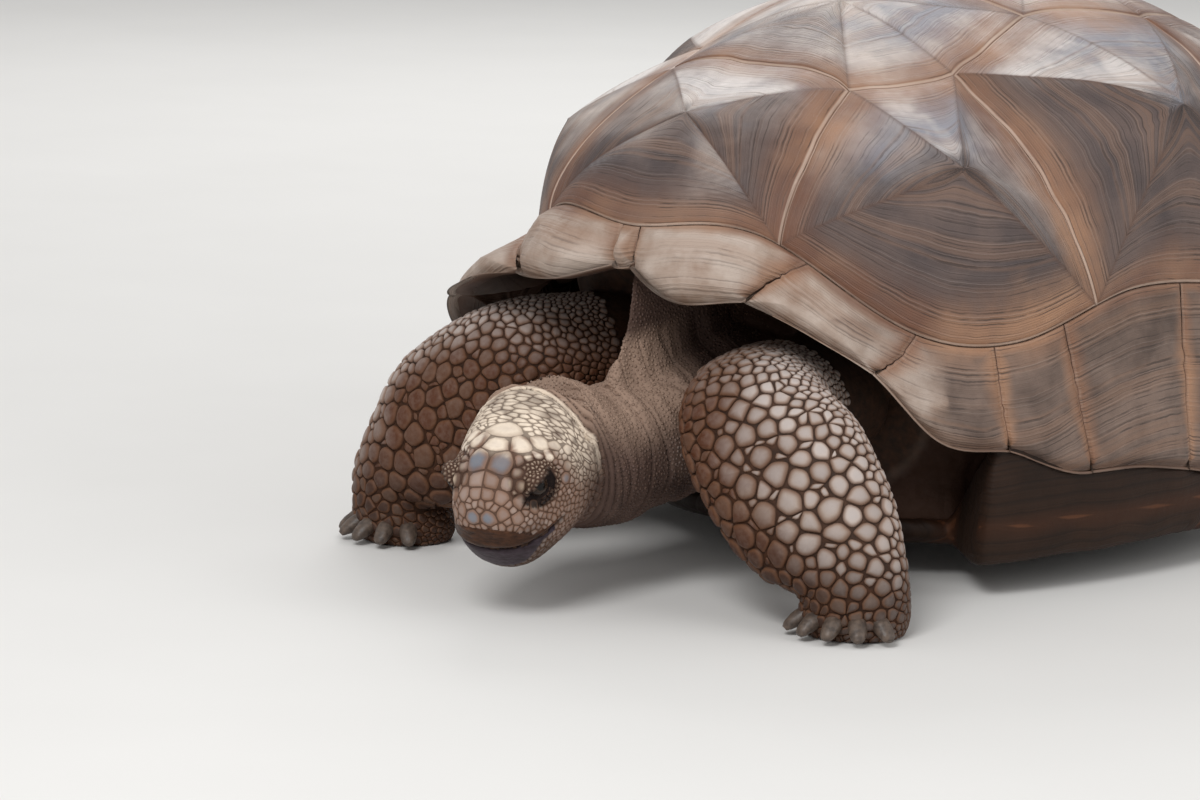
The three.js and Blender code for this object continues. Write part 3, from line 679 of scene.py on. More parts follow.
def front_leg(side, sole, wrist, forearm, elbow, shoulder, root, face_out):
    face = vec(side * face_out, -1, 0.15)
    return [
        Station(root, 80, 72, vec(0, -0.3, 1)),
        Station(shoulder, 82, 70, vec(side * 0.2, -0.6, 1)),
        Station(elbow, 84, 66, vec(side * face_out, -1, 0.75), 2.1),
        Station(forearm, 94, 64, face, 2.1),
        Station(mix(wrist, forearm, 0.42), 84, 60, face, 2.1),
        Station(wrist, 61, 54, face, 2.1),
        Station(sole + UP * 22, 61, 58, face, 2.2, DOWN),
        Station(sole, 56, 53, face, 2.2, DOWN),
    ]


def hind_leg(side, sole, knee, thigh, root):
    face = vec(side * 0.35, 1, 0)
    return [
        Station(root, 84, 80, face),
        Station(thigh, 86, 82, face),
        Station(knee, 76, 78, face),
        Station(sole + UP * 88, 69, 71, face),
        Station(sole + UP * 30, 71, 74, face, 2.0, DOWN),
        Station(sole, 67, 70, face, 2.0, DOWN),
    ]


LEGS = {
    "front_left": front_leg(
        1, vec(306, -494, 0), vec(306, -500, 62), vec(216, -496, 156), vec(152, -474, 206),
        vec(116, -380, 206), vec(105, -280, 200), 0.5,
    ),
    "front_right": front_leg(
        -1, vec(-345, -476, 0), vec(-350, -478, 62), vec(-284, -466, 150), vec(-214, -440, 212),
        vec(-160, -360, 222), vec(-120, -280, 208), 0.25,
    ),
    "hind_left": hind_leg(1, vec(244, 366, 0), vec(234, 344, 142), vec(192, 300, 206), vec(135, 255, 232)),
    "hind_right": hind_leg(
        -1, vec(-244, 398, 0), vec(-232, 366, 142), vec(-192, 312, 206), vec(-135, 262, 232)
    ),
}
FORE_CLAWS = {"count": 5, "spread": 105, "reach": 50, "length": 25, "width": 10}
HIND_CLAWS = {"count": 4, "spread": 95, "reach": 66, "length": 24, "width": 12}
CLAWS = {
    "front_left": {"towards": vec(0.25, -1, 0), **FORE_CLAWS},
    "front_right": {"towards": vec(-0.125, -1, 0), **FORE_CLAWS},
    "hind_left": {"towards": vec(0.25, -1, 0), **HIND_CLAWS},
    "hind_right": {"towards": vec(-0.25, -1, 0), **HIND_CLAWS},
}

# The head's own axes run back from the tip of the nose, aside to its left and above.
NOSE = vec(14.5, -757, 115)
HEAD_TURN, HEAD_NOD = math.radians(15), math.radians(33)
HEAD_BACK = vec(
    -math.sin(HEAD_TURN) * math.cos(HEAD_NOD), math.cos(HEAD_TURN) * math.cos(HEAD_NOD), math.sin(HEAD_NOD)
)
HEAD_LEFT = vec(math.cos(HEAD_TURN), math.sin(HEAD_TURN), 0)
HEAD_ABOVE = np.cross(-HEAD_BACK, HEAD_LEFT)
HEAD_AXES = np.array((HEAD_BACK, HEAD_LEFT, HEAD_ABOVE))
HEAD_CORE = 32.0  # how far the head's middle line runs below the tip of its nose
HEAD_PROFILE = (  # distance back, half width, top, bottom
    (0, 18, 1, -38), (5, 30, 11, -60), (15, 42, 23, -82), (32, 52, 36, -95), (52, 59, 43, -102),
    (78, 67, 45, -107), (106, 73, 44, -109), (138, 74, 45, -109), (168, 71, 44, -104),
)


def on_head(back, aside, above):
    return NOSE + np.stack(np.broadcast_arrays(back, aside, above), -1) @ HEAD_AXES


def head_place(points):
    """Distances back, aside and above on the head's axes."""
    return np.moveaxis((points - NOSE) @ HEAD_AXES.T, -1, 0)


HEAD = [
    Station(on_head(back, 0, (top + low) / 2), half, (top - low) / 2, HEAD_ABOVE, 2.15, HEAD_BACK)
    for back, half, top, low in HEAD_PROFILE
]
NECK = [
    Station(vec(0, -262, 206), 92, 86, UP),
    Station(vec(-2, -380, 182), 86, 84, UP),
    Station(vec(-6, -480, 160), 77, 76, UP),
    Station(vec(-12, -556, 150), 74, 77, vec(0, -0.1, 1)),
    Station(on_head(148, 0, -30), 84, 82, HEAD_ABOVE),
]
NAPE_FOLD = [
    Station(vec(-2, -425, 175), 130, 46, vec(1, 0, 0), 2.0, UP),
    Station(vec(0, -408, 240), 124, 22, vec(1, 0, 0), 2.0, UP),
    Station(vec(0, -396, 285), 116, 11, vec(1, 0, 0), 2.0, UP),
    Station(vec(0, -392, 350), 112, 7, vec(1, 0, 0), 2.0, UP),
]
TAIL = [
    Station(vec(0, 430, 190), 60, 50, vec(0, 0.5, 1)),
    Station(vec(0, 500, 165), 50, 42, vec(0, 0.6, 1)),
    Station(vec(8, 560, 126), 32, 28, vec(0, 1, 0.6)),
    Station(vec(24, 590, 84), 18, 17, vec(0, 1, 0.3)),
    Station(vec(36, 600, 56), 7, 7, vec(0, 1, 0.2)),
]
TRUNK_LOW = around({0: 0.6, 30: 0.63, 54: 0.74, 90: 0.82, 110: 0.76, 126: 0.64, 150: 0.66, 180: 0.68})
TRUNK_MIDDLE = around({0: 0.64, 30: 0.7, 54: 0.86, 75: 0.94, 95: 0.95, 130: 0.84, 180: 0.76})
TRUNK_HIGH = around({0: 0.84, 22: 0.86, 45: 0.91, 75: 0.95, 95: 0.95, 130: 0.93, 180: 0.92})
TRUNK_DOME = (0.96, 0.7, 0.38)  # radii on the plates' map of the trunk's rings under the dome
TRUNK_FLOOR = 70.0
UNDER_PLATES = 40.0  # how deep the trunk's top lies under the shell's surface
TRUNK_INSET = 0.99
LINE_PLACES = 91


def trunk_rings(count=90):
    angle = np.linspace(-math.pi, math.pi, count, endpoint=False)
    furrow = furrow_height(angle)
    walls = (
        (0.8 * TRUNK_LOW(angle), TRUNK_FLOOR),
        (TRUNK_LOW(angle), TRUNK_FLOOR + 16),
        (TRUNK_MIDDLE(angle), 0.5 * (TRUNK_FLOOR + furrow) + 10),
        (TRUNK_HIGH(angle), furrow - 38),
    )
    rings = [level(angle, share * TRUNK_INSET, height) for share, height in walls]
    for radius in TRUNK_DOME:
        rings.append(towards_heart(shell_point(map_point(np.degrees(angle), radius)), UNDER_PLATES))
    return rings


class Line:
    """A loft's middle line as a row of places, and the way on at each."""

    def __init__(self, stations):
        spine = spine_through([station.at for station in stations])
        self.places = np.array([spine(i / (LINE_PLACES - 1)) for i in range(LINE_PLACES)])
        self.ahead = unit(np.gradient(self.places, axis=0))

    def nearest(self, points):
        """For each point, the number of the nearest place on the line and the distance to it."""
        squares = (self.places ** 2).sum(1)
        parts = np.array_split(points, 1 + len(points) // 50000)
        number = np.concatenate([(squares - 2 * part @ self.places.T).argmin(1) for part in parts])
        return number, np.linalg.norm(points - self.places[number], axis=1)

    def share(self, points):
        """For each point, the share of the way along the line, and the distance to it."""
        number, far = self.nearest(points)
        return number / (LINE_PLACES - 1), far


LINES = {"neck": Line(NECK), "tail": Line(TAIL), **{name: Line(leg) for name, leg in LEGS.items()}}


# ---------------------------------------------------------------- one skin

VOXEL = 3.3  # size of the cells in which the lofts are fused
SKIN_TRIANGLES = 190_000
APRON = {"low": 60.0, "high": 104.0, "inset": 0.985}
THINNING = {"leg": 0.75, "neck": 0.4, "head": 0.12, "eyes": 0.03, "strength": 5e-5}  # less keeps more faces
COAT_DEPTH = {"leg": 3.4, "neck": 2.0, "head": 2.0, "tail": 2.5}  # how far the skin lies inside the coat
LOWEST = {"skin": 0.4, "claws": 0.3, "scales": 0.2}  # heights above the floor
FUSED_SMOOTHING = 7


def apron_rings(count=120):
    """The skin that reaches from the trunk down to the edge of the lower shell, all round."""
    angle = np.linspace(-math.pi, math.pi, count, endpoint=False)
    lobe, wall = LOBES(angle), TRUNK_LOW(angle)
    low, high = APRON["low"], APRON["high"]
    levels = (
        (0.9 * lobe, low),
        (APRON["inset"] * lobe, low + 4),
        (mix(lobe, wall, 0.35), 0.5 * (low + high)),
        (mix(lobe, wall, 0.7), high),
        (0.9 * wall, high + 20),
    )
    return [level(angle, share, height) for share, height in levels]


def flesh_bodies():
    """Rings of bodies that overlap: the trunk, all that grows from it, and a knuckle over each claw."""
    bodies = [
        trunk_rings(),
        apron_rings(),
        loft_rings(HEAD, COAT_DEPTH["head"]),
        loft_rings(NECK, COAT_DEPTH["neck"]),
        loft_rings(NAPE_FOLD, 1.5),
        loft_rings(TAIL, COAT_DEPTH["tail"]),
    ]
    for name, leg in LEGS.items():
        bodies.append(loft_rings(leg, COAT_DEPTH["leg"]))
        for root, way, width in claw_roots(name):
            stations = [
                Station(root - way * 16 + UP * 4, width + 3, width + 3, UP),
                Station(root + UP * 2, width + 2.5, width + 2.5, UP),
                Station(root + way * 7, width + 0.5, width + 0.5, UP),
            ]
            bodies.append(loft_rings(stations, sides=16, per_span=4))
    return bodies


def claw_roots(name):
    """Where each claw of a foot starts, the way it points and its half width."""
    sole, claws = LEGS[name][-1].at, CLAWS[name]
    towards = unit(claws["towards"])
    for i in range(claws["count"]):
        turn = math.radians(claws["spread"] * (i / (claws["count"] - 1) - 0.5))
        way = vec(
            towards[0] * math.cos(turn) - towards[1] * math.sin(turn),
            towards[0] * math.sin(turn) + towards[1] * math.cos(turn),
            0,
        )
        yield sole + way * (claws["reach"] - 2) + UP * 19, way, claws["width"]


def fused_skin():
    skin = make_object("skin", *joined(closed_body(rings) for rings in flesh_bodies()))
    turn_out(skin)
    fuse = skin.modifiers.new("fuse", "REMESH")
    fuse.mode = "VOXEL"
    fuse.voxel_size = VOXEL * MM
    return baked(skin)


def refine(mesh, chosen):
    """Each face with a chosen corner is divided in four."""
    work = bmesh.new()
    work.from_mesh(mesh)
    work.verts.ensure_lookup_table()
    edges = set()
    for vertex in (work.verts[i] for i in np.flatnonzero(chosen)):
        edges.update(vertex.link_edges)
    bmesh.ops.subdivide_edges(work, edges=list(edges), cuts=1, use_grid_fill=True, smooth=0.0)
    work.to_mesh(mesh)
    work.free()


def smoothed_points(mesh, times):
    """The mesh's points, each moved to the middle of its neighbours so many times."""
    pairs = read(mesh.edges, "vertices", 2, np.int64)
    a, b = pairs.T
    size = len(mesh.vertices)
    neighbours = np.maximum(np.bincount(pairs.ravel(), minlength=size), 1)
    points = points_of(mesh)
    for _ in range(times):
        sums = [np.bincount(a, row[b], size) + np.bincount(b, row[a], size) for row in points.T]
        points = points + (np.stack(sums, -1) / neighbours[:, None] - points)
    return points


def head_angle(aside, above):
    """Degrees round the head from its top, 0, past its sides, 90, to its throat, 180."""
    return np.degrees(np.arctan2(np.abs(aside), above + HEAD_CORE))


def from_core(aside, above):
    """The distance from the head's middle line."""
    return np.hypot(aside, above + HEAD_CORE)


EYE = {"radius": 13.0, "back": 51.0, "side": 46.0, "up": 11.0}
SOCKET = {
    "back": 54.0,
    "up": 9.0,
    "half_long": 28.0,
    "half_high": 23.0,
    "least_aside": 20,
    "groove": 2.2,
    "swell": 4.2,
}
FAR_OFF = 9.0  # stands for a place away from what is measured
MOUTH = {"tip": -41.0, "slope": 0.06, "corner": 62.0}
NECK_FOLDS = {"count": 5, "depth": 4.6}
# Where the folds behind the head start and the gap between them, by degrees round the head.
FOLD_DEGREES = [0, 60, 100, 140, 180]
fold_start = curve_through(FOLD_DEGREES, [157, 138, 121, 108, 104])
fold_gap = curve_through(FOLD_DEGREES, [7.5, 8.0, 8.5, 8.5, 7.0])


def eye_centre(side):
    return on_head(EYE["back"], side * EYE["side"], EYE["up"])


def socket_reach(points):
    """0 in the middle of the lids' granular patch and 1 on its edge, on either side of the head."""
    back, aside, above = head_place(points)
    long = (back - SOCKET["back"]) / SOCKET["half_long"]
    high = (above - SOCKET["up"]) / SOCKET["half_high"]
    return np.where(np.abs(aside) > SOCKET["least_aside"], np.hypot(long, high), FAR_OFF)


def mouth_height(back):
    return MOUTH["tip"] - MOUTH["slope"] * back


def fold_relief(points):
    """Deep folds where the skin of the neck laps against the back of the head."""
    back, aside, above = head_place(points)
    angle = head_angle(aside, above)
    steps = (back - fold_start(angle) + 2.0 * wander(points, 28, 21)) / fold_gap(angle)
    part = steps - np.floor(steps)
    ridge = np.sin(math.pi * part) ** 0.5 - 1
    inside = ease(-0.6, 0.1, steps) * ease(NECK_FOLDS["count"] + 0.5, NECK_FOLDS["count"] - 1, steps)
    return NECK_FOLDS["depth"] * ridge * inside


def neck_relief(points):
    """Wrinkles round the neck: fine ones over soft folds, with a few sharp creases."""
    along = NECK[-1].at - NECK[0].at
    axis = unit(along)
    run = (points @ axis)[:, None] * axis
    fine = wander(run + (points - run) * 0.22, 6.0, 31)
    soft = wander(run + (points - run) * 0.25, 22, 33)
    crease = ease(0.13, 0.0, np.abs(wander(run + (points - run) * 0.2, 24, 35)))
    return 1.2 * fine + 4.6 * soft - 3.4 * crease


def flank_relief(points):
    """Slack folds in the skin of the trunk between the legs and the shell."""
    drop = points * vec(1, 1, 0.3)
    crease = ease(0.14, 0, np.abs(wander(drop, 40, 39)))
    return 3.2 * wander(drop, 30, 37) + 1.1 * wander(drop, 9, 38) - 2.0 * crease


def head_relief(points):
    """Fine lines across the back of the crown."""
    back, aside, above = head_place(points)
    on_crown = ease(78, 100, back) * ease(95, 55, head_angle(aside, above)) * ease(175, 160, back)
    lines = wander(np.stack((back + 0.0008 * aside ** 2, aside * 0.16, above * 0.3), -1), 3.6, 41)
    return 0.7 * lines * on_crown


def lid_relief(points):
    """The soft swelling of the lids and the groove round them."""
    reach = socket_reach(points)
    return SOCKET["swell"] * ease(1, 0.3, reach) - SOCKET["groove"] * bump_at(reach, 1.02, 0.16)


def carve_mouth(points):
    back, _, above = head_place(points)
    gap = above - mouth_height(back) + 0.8 * wander(points, 15, 45)
    reach = ease(MOUTH["corner"] + 6, MOUTH["corner"] - 10, back)
    lip = 1.6 * np.exp(-((gap - 8) / 4.5) ** 2)
    return (lip - 4.0 * np.exp(-(gap / 2.2) ** 2)) * reach


def carve_nostrils(points):
    back, aside, above = head_place(points)
    depth = 0
    for side in (1, -1):
        hole = np.stack((back - 6, (aside - side * 9) * 1.1, (above + 9) * 1.2), -1)
        depth = depth - 5.0 * np.exp(-(np.linalg.norm(hole, axis=-1) / 3.2) ** 2)
    return depth


LID = {
    "look": vec(-0.5, 0.8, 0.3),  # back, aside and above
    "cover": 1.8,
    "bulge": 1.6,
    "half_length": 15.5,
    "half_height": 6.5,
    "tilt": math.radians(4),
    "drop": -4.0,
    "depth": 3.4,
}


def eye_look(side):
    return unit((LID["look"] * vec(1, side, 1)) @ HEAD_AXES)


def lid_place(points, side):
    """Distances along and across the slit between the lids and from the eye's middle, and the facing.

    The facing is 1 straight out of the eye and -1 straight into the head."""
    look = eye_look(side)
    back = unit(HEAD_BACK - look * (HEAD_BACK @ look))
    up = side * np.cross(look, back)
    away = points - eye_centre(side)
    far = np.linalg.norm(away, axis=-1)
    out = away / np.maximum(far, 1e-6)[..., None]
    u, v = EYE["radius"] * (out @ back), EYE["radius"] * (out @ up)
    cos_t, sin_t = math.cos(LID["tilt"]), math.sin(LID["tilt"])
    return u * cos_t + v * sin_t, v * cos_t - u * sin_t - LID["drop"], far, out @ look


def slit_edge(along, across):
    """How far outside the almond between the lids a place is, below 0 inside it."""
    almond = 1 - np.clip(np.abs(along) / LID["half_length"], 0, 1) ** 3
    return np.abs(across) - LID["half_height"] * almond


def nearest_slit(points, under=0.0):
    """How far outside the slit between the nearer eye's lids each point is, and FAR_OFF away from the eyes.

    Under the slit that distance is shorter by the given length."""
    edge = np.full(len(points), FAR_OFF)
    for side in (1, -1):
        along, across, far, facing = lid_place(points, side)
        here = (facing > -0.2) & (far < EYE["radius"] + 12)
        below = under * ease(1, -3, across) * ease(-0.2, 0.2, facing)
        edge = np.where(here, np.minimum(slit_edge(along, across) - below, edge), edge)
    return edge


def shape_lids(points):
    """Skin over the eyeballs, open in an almond between an upper and a lower lid."""
    points = points.copy()
    for side in (1, -1):
        along, across, far, facing = lid_place(points, side)
        away = (points - eye_centre(side)) / np.maximum(far, 1e-6)[:, None]
        edge = slit_edge(along, across)
        open_here = ease(0.7, -0.7, edge)
        fold = -1.3 * bump_at(edge, 5.6, 1.9) - 1.0 * bump_at(edge, 9.6, 2.2)
        cover = EYE["radius"] + LID["cover"] + 1.0 * bump_at(edge, 1.8, 2.0)
        cover = cover + LID["bulge"] * bump_at(edge, 4.0, 5.0) * ease(0, 5, across)
        blend = ease(EYE["radius"] + 2, EYE["radius"] + 15, far)
        lid = np.maximum(mix(cover, far, blend), cover) + fold * ease(1.0, 0.6, blend)
        target = mix(lid, EYE["radius"] - LID["depth"], open_here)
        pull = ease(EYE["radius"] + 17, EYE["radius"] + 12, far) * ease(0.0, 0.25, facing)
        points = mix(points, eye_centre(side) + away * target[:, None], pull[:, None])
    return points


def thin_out(skin):
    """Fewer faces, most of them kept where the head's and neck's fine folds are."""
    mesh = skin.data
    points = points_of(mesh)
    back, aside, above = head_place(points)
    _, neck_far = LINES["neck"].nearest(points)
    leg_far = np.min([LINES[name].nearest(points)[1] for name in LEGS], axis=0)
    head = ease(190, 165, back) * ease(125, 100, from_core(aside, above))
    neck = ease(135, 105, neck_far) * ease(-230, -330, points[:, 1])
    eyes = head * ease(1.5, 1.2, socket_reach(points))
    weight = 1.0
    for key, region in (("leg", ease(125, 100, leg_far)), ("neck", neck), ("head", head), ("eyes", eyes)):
        weight = mix(weight, THINNING[key], region)
    group = skin.vertex_groups.new(name="thinning")
    steps = np.round(weight, 2)
    for step in np.unique(steps):
        group.add(np.flatnonzero(steps == step).tolist(), float(step), "REPLACE")
    thin = skin.modifiers.new("thin", "DECIMATE")
    triangles = sum(len(face.vertices) - 2 for face in mesh.polygons)
    thin.ratio = SKIN_TRIANGLES / triangles
    thin.vertex_group = "thinning"
    thin.vertex_group_factor = THINNING["strength"]
    baked(skin)
    skin.vertex_groups.clear()


def sculpt_skin(skin):
    mesh = skin.data
    points = points_of(mesh)
    back, aside, above = head_place(points)
    _, neck_far = LINES["neck"].nearest(points)
    head = (back > -20) & (back < 175) & (np.abs(aside) < 95) & (above > -125) & (above < 70)
    neck = (neck_far < 120) & (points[:, 1] < -330)
    refine(mesh, head | neck)
    refine(mesh, socket_reach(points_of(mesh)) < 1.25)
    points = smoothed_points(mesh, FUSED_SMOOTHING)
    move_points(mesh, points)
    back, aside, above = head_place(points)
    head = ease(176, 150, back) * ease(105, 90, from_core(aside, above))
    _, neck_far = LINES["neck"].nearest(points)
    neck = ease(125, 100, neck_far) * (1 - head) * ease(60, 90, back)
    marks = markings(points)
    rise = fold_relief(points) * ease(110, 95, from_core(aside, above)) * ease(205, 180, back)
    neck_rise = neck_relief(points) * neck * ease(150, 185, back + 0.2 * np.abs(aside))
    rise = rise + neck_rise * (1 - marks["hidden"])
    rise = rise + flank_relief(points) * marks["hidden"]
    head_rise = head_relief(points) + lid_relief(points) + carve_mouth(points) + carve_nostrils(points)
    rise = rise + head_rise * head
    points = points + normals_of(mesh) * rise[:, None]
    move_points(mesh, above_floor(shape_lids(points), LOWEST["skin"]))
    thin_out(skin)
    for key, numbers in markings(points_of(skin.data)).items():
        set_attribute(skin.data, key, numbers)


# Spots on the head, as back, aside, above and radius. They are the same on both sides.
SPOTS = {
    "blue": ((45, 15, 43, 11.5), (5, 9, 0, 6.5), (105, 70, 10, 5.5), (81, 69, -6, 6)),
    "pale": (
        (92, 0, 46, 22), (71, 0, 46, 14), (56, 17, 44, 7), (77, 29, 42, 11), (88, 42, 34, 11),
        (106, 22, 44, 18), (67, 37, 34, 5), (75, 45, 28, 5), (83, 52, 21, 5),
    ),
}
PAINTED_SHIFT = {"front_right": 30.0}  # how much further out the rust colour and painted shade reach on a leg, and further in its painted highlight


def spot_markings(back, aside, above, shake):
    for name, spots in SPOTS.items():
        far = []
        for spot_back, spot_aside, spot_above, radius in spots:
            off = (back - spot_back) ** 2 + (np.abs(aside) - spot_aside) ** 2 + (above - spot_above) ** 2
            far.append(np.sqrt(off) / radius)
        yield name, ease(1.35, 0.65, np.min(far, axis=0) + shake)


def head_markings(points, head):
    """The markings of the head and of the folds and the nape behind it."""
    back, aside, above = head_place(points)
    angle = head_angle(aside, above)
    behind = back - fold_start(angle)
    shake = 0.25 * wander(points, 7, 61)
    marks = {name: mark * head for name, mark in spot_markings(back, aside, above, shake)}
    crown = ease(84, 104, back) * ease(105, 50, angle) * ease(9, 3, behind)
    streak = wander(points * vec(0.4, 1, 1), 9, 62)
    crown = 0.85 * crown * ease(-1.3, 0.2, streak)
    marks["pale"] = np.maximum(marks["pale"], crown) * (1 - marks["blue"])
    marks["lids"] = ease(1.1, 0.96, socket_reach(points)) * head
    marks["tan"] = head * ease(122, 80, back) * ease(-92, -50, above) * (1 - marks["lids"])
    # The dark marking: painted shade round each eye's slit, reaching further below it, painted shade in the
    # mouth's gap and in the folds, and a darker lower muzzle.
    slit = ease(6.0, 1.0, nearest_slit(points, 9.0))
    muzzle = ease(40, 8, back + 0.4 * above) * ease(-8, -30, above)
    mouth = np.exp(-((above - mouth_height(back)) / 3.2) ** 2)
    mouth = mouth * ease(MOUTH["corner"] + 10, MOUTH["corner"] - 6, back)
    folds = ease(0.35, 0.85, -fold_relief(points) / NECK_FOLDS["depth"])
    dark = np.maximum.reduce((slit, 0.6 * muzzle, 0.95 * mouth, 0.9 * folds))
    marks["dark"] = dark * ease(205, 180, back) * ease(118, 100, from_core(aside, above))
    marks["coat"] = head * ease(2, -6, behind)
    number, neck_far = LINES["neck"].nearest(points)
    lifted = points[:, 2] - LINES["neck"].places[number][:, 2]
    nape = ease(-1, 5, behind) * ease(130, 110, neck_far) * ease(0, 55, lifted)
    marks["nape"] = nape * ease(-400, -500, points[:, 1])
    return marks


def limb_markings(points, head):
    """The markings of the legs, and of the skin that the shell hides."""
    x, y, z = points.T
    limb_far, inner, painted_shift = np.full(len(points), 1e9), np.zeros(len(points)), np.zeros(len(points))
    for name in LEGS:
        number, away = LINES[name].nearest(points)
        side = np.sign(LEGS[name][-1].at[0])
        inner = np.where(away < limb_far, side * (x - LINES[name].places[number][:, 0]), inner)
        painted_shift = np.where(away < limb_far, PAINTED_SHIFT.get(name, 0.0), painted_shift)
        limb_far = np.minimum(away, limb_far)
    limb = ease(124, 104, limb_far) * ease(62, 84, np.abs(x)) * (1 - head)
    inside = ease(44, -24, inner - painted_shift + 14 * wander(points, 40, 63)) * ease(330, 210, z)
    return {
        "leg": limb,
        # A painted highlight on the tops of the front legs, reaching further in on the right one.
        "high": limb * ease(215, 300, z) * ease(-300, -400, y) * ease(-10, 30, inner + painted_shift),
        # Rust-brown: partly the skin's own colour on the inner and lower sides, partly painted shade, most
        # on the right foreleg.
        "rust": limb * np.clip(inside + 0.4 * ease(95, 25, z), 0, 1),
        # The legs are darker towards the floor.
        "dust": limb * ease(135, 35, z),
        # The skin under the shell is darker: partly its own dark brown, partly painted shade.
        "hidden": (1 - limb) * ease(-405, -330, y) * ease(520, 440, y) * (1 - head),
    }


def markings(points):
    """How strongly each marking shows at each point, from 0 to 1."""
    back, aside, above = head_place(points)
    head = ease(178, 160, back) * ease(118, 100, from_core(aside, above))
    return {**head_markings(points, head), **limb_markings(points, head)}


def add_skin(material):
    skin = fused_skin()
    sculpt_skin(skin)
    limbs = [f"{part}_{leg}" for leg in LEGS for part in ("leg", "foot")]
    dress(skin, material, "skin", "trunk", "neck", "tail", "head", "jaw", *limbs)
    return skin


# ---------------------------------------------------------------- materials


def set_stops(ramp, stops):
    while len(ramp.elements) < len(stops):
        ramp.elements.new(0.5)
    for element, (position, colour) in zip(ramp.elements, stops):
        element.position = position
        element.color = (*colour, 1)


def new_node(tree, kind, settings=None, sockets=None):
    """The outputs of a new node, whose settings come first and then its sockets' values or links."""
    made = tree.nodes.new(kind)
    for key, value in (settings or {}).items():
        if key == "stops":
            set_stops(made.color_ramp, value)
        else:
            setattr(made, key, value)
    for key, value in (sockets or {}).items():
        socket = made.inputs[key]
        value = getattr(value, "socket", value)
        if isinstance(value, bpy.types.NodeSocket):
            tree.links.new(value, socket)
        else:
            colour = socket.type == "RGBA" and len(value) == 3
            socket.default_value = (*value, 1) if colour else value
    return made.outputs


class Term:
    """A socket of a material's node that sums can be written with."""

    def __init__(self, paint, socket):
        self.paint = paint
        self.socket = socket

    def using(operation, swapped=False):
        def apply(self, other):
            pair = (other, self) if swapped else (self, other)
            return self.paint.node("ShaderNodeMath", {"operation": operation}, dict(enumerate(pair)))

        return apply

    __add__ = __radd__ = using("ADD")
    __sub__, __rsub__ = using("SUBTRACT"), using("SUBTRACT", True)
    __mul__ = __rmul__ = using("MULTIPLY")
    __truediv__, __rtruediv__ = using("DIVIDE"), using("DIVIDE", True)


class Paint:
    """A material in the making."""

    def __init__(self, name):
        self.material = bpy.data.materials.new(name)
        self.material.use_nodes = True
        self.tree = self.material.node_tree
        self.tree.nodes.clear()

    def node(self, kind, settings=None, sockets=None, output=0):
        outputs = new_node(self.tree, kind, settings, sockets)
        return Term(self, outputs[output]) if outputs else None

    def attribute(self, name):
        return self.node("ShaderNodeAttribute", {"attribute_name": name}, output="Fac")

    def place(self):
        return self.node("ShaderNodeTexCoord", output="Object")

    def noise(self, scale, detail=3.0, roughness=0.55, stretch=None):
        vector = self.place()
        if stretch:
            vector = self.node("ShaderNodeMapping", None, {"Vector": vector, "Scale": stretch})
        sockets = {"Vector": vector, "Scale": scale, "Detail": detail, "Roughness": roughness}
        return self.node("ShaderNodeTexNoise", None, sockets)

    def between(self, value, low, high):
        """0 where value is low and 1 where it is high."""
        sockets = {"Value": value, "From Min": low, "From Max": high}
        return self.node("ShaderNodeMapRange", {"interpolation_type": "SMOOTHSTEP"}, sockets)

    def blend(self, share, under, over):
        """The colour under, with a share of the colour over laid on it."""
        return self.node("ShaderNodeMix", {"data_type": "RGBA"}, {0: share, 6: under, 7: over}, 2)

    def ramp(self, value, *stops):
        return self.node("ShaderNodeValToRGB", {"stops": stops}, {0: value})

    def streaks(self, across, scale, detail):
        """Uneven lines along places of one number, such as a distance from an edge."""
        sockets = {"W": across, "Scale": scale, "Detail": detail}
        return self.node("ShaderNodeTexNoise", {"noise_dimensions": "1D"}, sockets)

    def bump(self, height, distance):
        return self.node("ShaderNodeBump", None, {"Height": height, "Distance": distance})

    def finish(self, colour, roughness, normal=None, specular=None):
        sockets = {"Base Color": colour, "Roughness": roughness}
        for key, value in (("Specular IOR Level", specular), ("Normal", normal)):
            if value is not None:
                sockets[key] = value
        shader = self.node("ShaderNodeBsdfPrincipled", None, sockets)
        self.node("ShaderNodeOutputMaterial", None, {"Surface": shader})
        return self.material


def shade(*colour):
    """A colour written from 0 to 255, as the shaders want it."""
    shares = [part / 255 for part in colour]
    return tuple(c / 12.92 if c <= 0.04045 else ((c + 0.055) / 1.055) ** 2.4 for c in shares)


def hide_colour(paint, broad, fine):
    """The colour that skin and scales share, from the markings."""
    neck = paint.ramp(broad, (0.32, shade(60, 44, 38)), (0.68, shade(98, 78, 70)))
    leg = paint.ramp(broad, (0.3, shade(142, 122, 108)), (0.7, shade(186, 168, 157)))
    colour = paint.blend(paint.attribute("leg"), neck, leg)
    for name, over, share in (
        # A painted highlight on the tops of the front legs.
        ("high", shade(228, 215, 207), 0.85),
        ("nape", shade(164, 138, 121), 0.85),
        # The skin under the shell: partly its own dark brown, partly painted shade.
        ("hidden", shade(60, 40, 30), 0.92),
        ("tan", shade(146, 115, 97), 0.85),
        # Rust-brown, partly the skin's own colour and partly painted shade.
        ("rust", shade(80, 43, 22), 0.95),
        ("pale", shade(243, 226, 205), 0.95),
        ("blue", shade(100, 108, 120), 0.92),
        ("lids", shade(98, 76, 64), 0.9),
        # Painted shade round the eyes' slits, in the mouth's gap and in the folds, and a darker lower
        # muzzle.
        ("dark", shade(23, 14, 12), 0.97),
        # The legs are darker towards the floor.
        ("dust", shade(52, 34, 25), 0.85),
    ):
        colour = paint.blend(paint.attribute(name) * (fine * 0.5 + 0.75) * share, colour, over)
    return colour


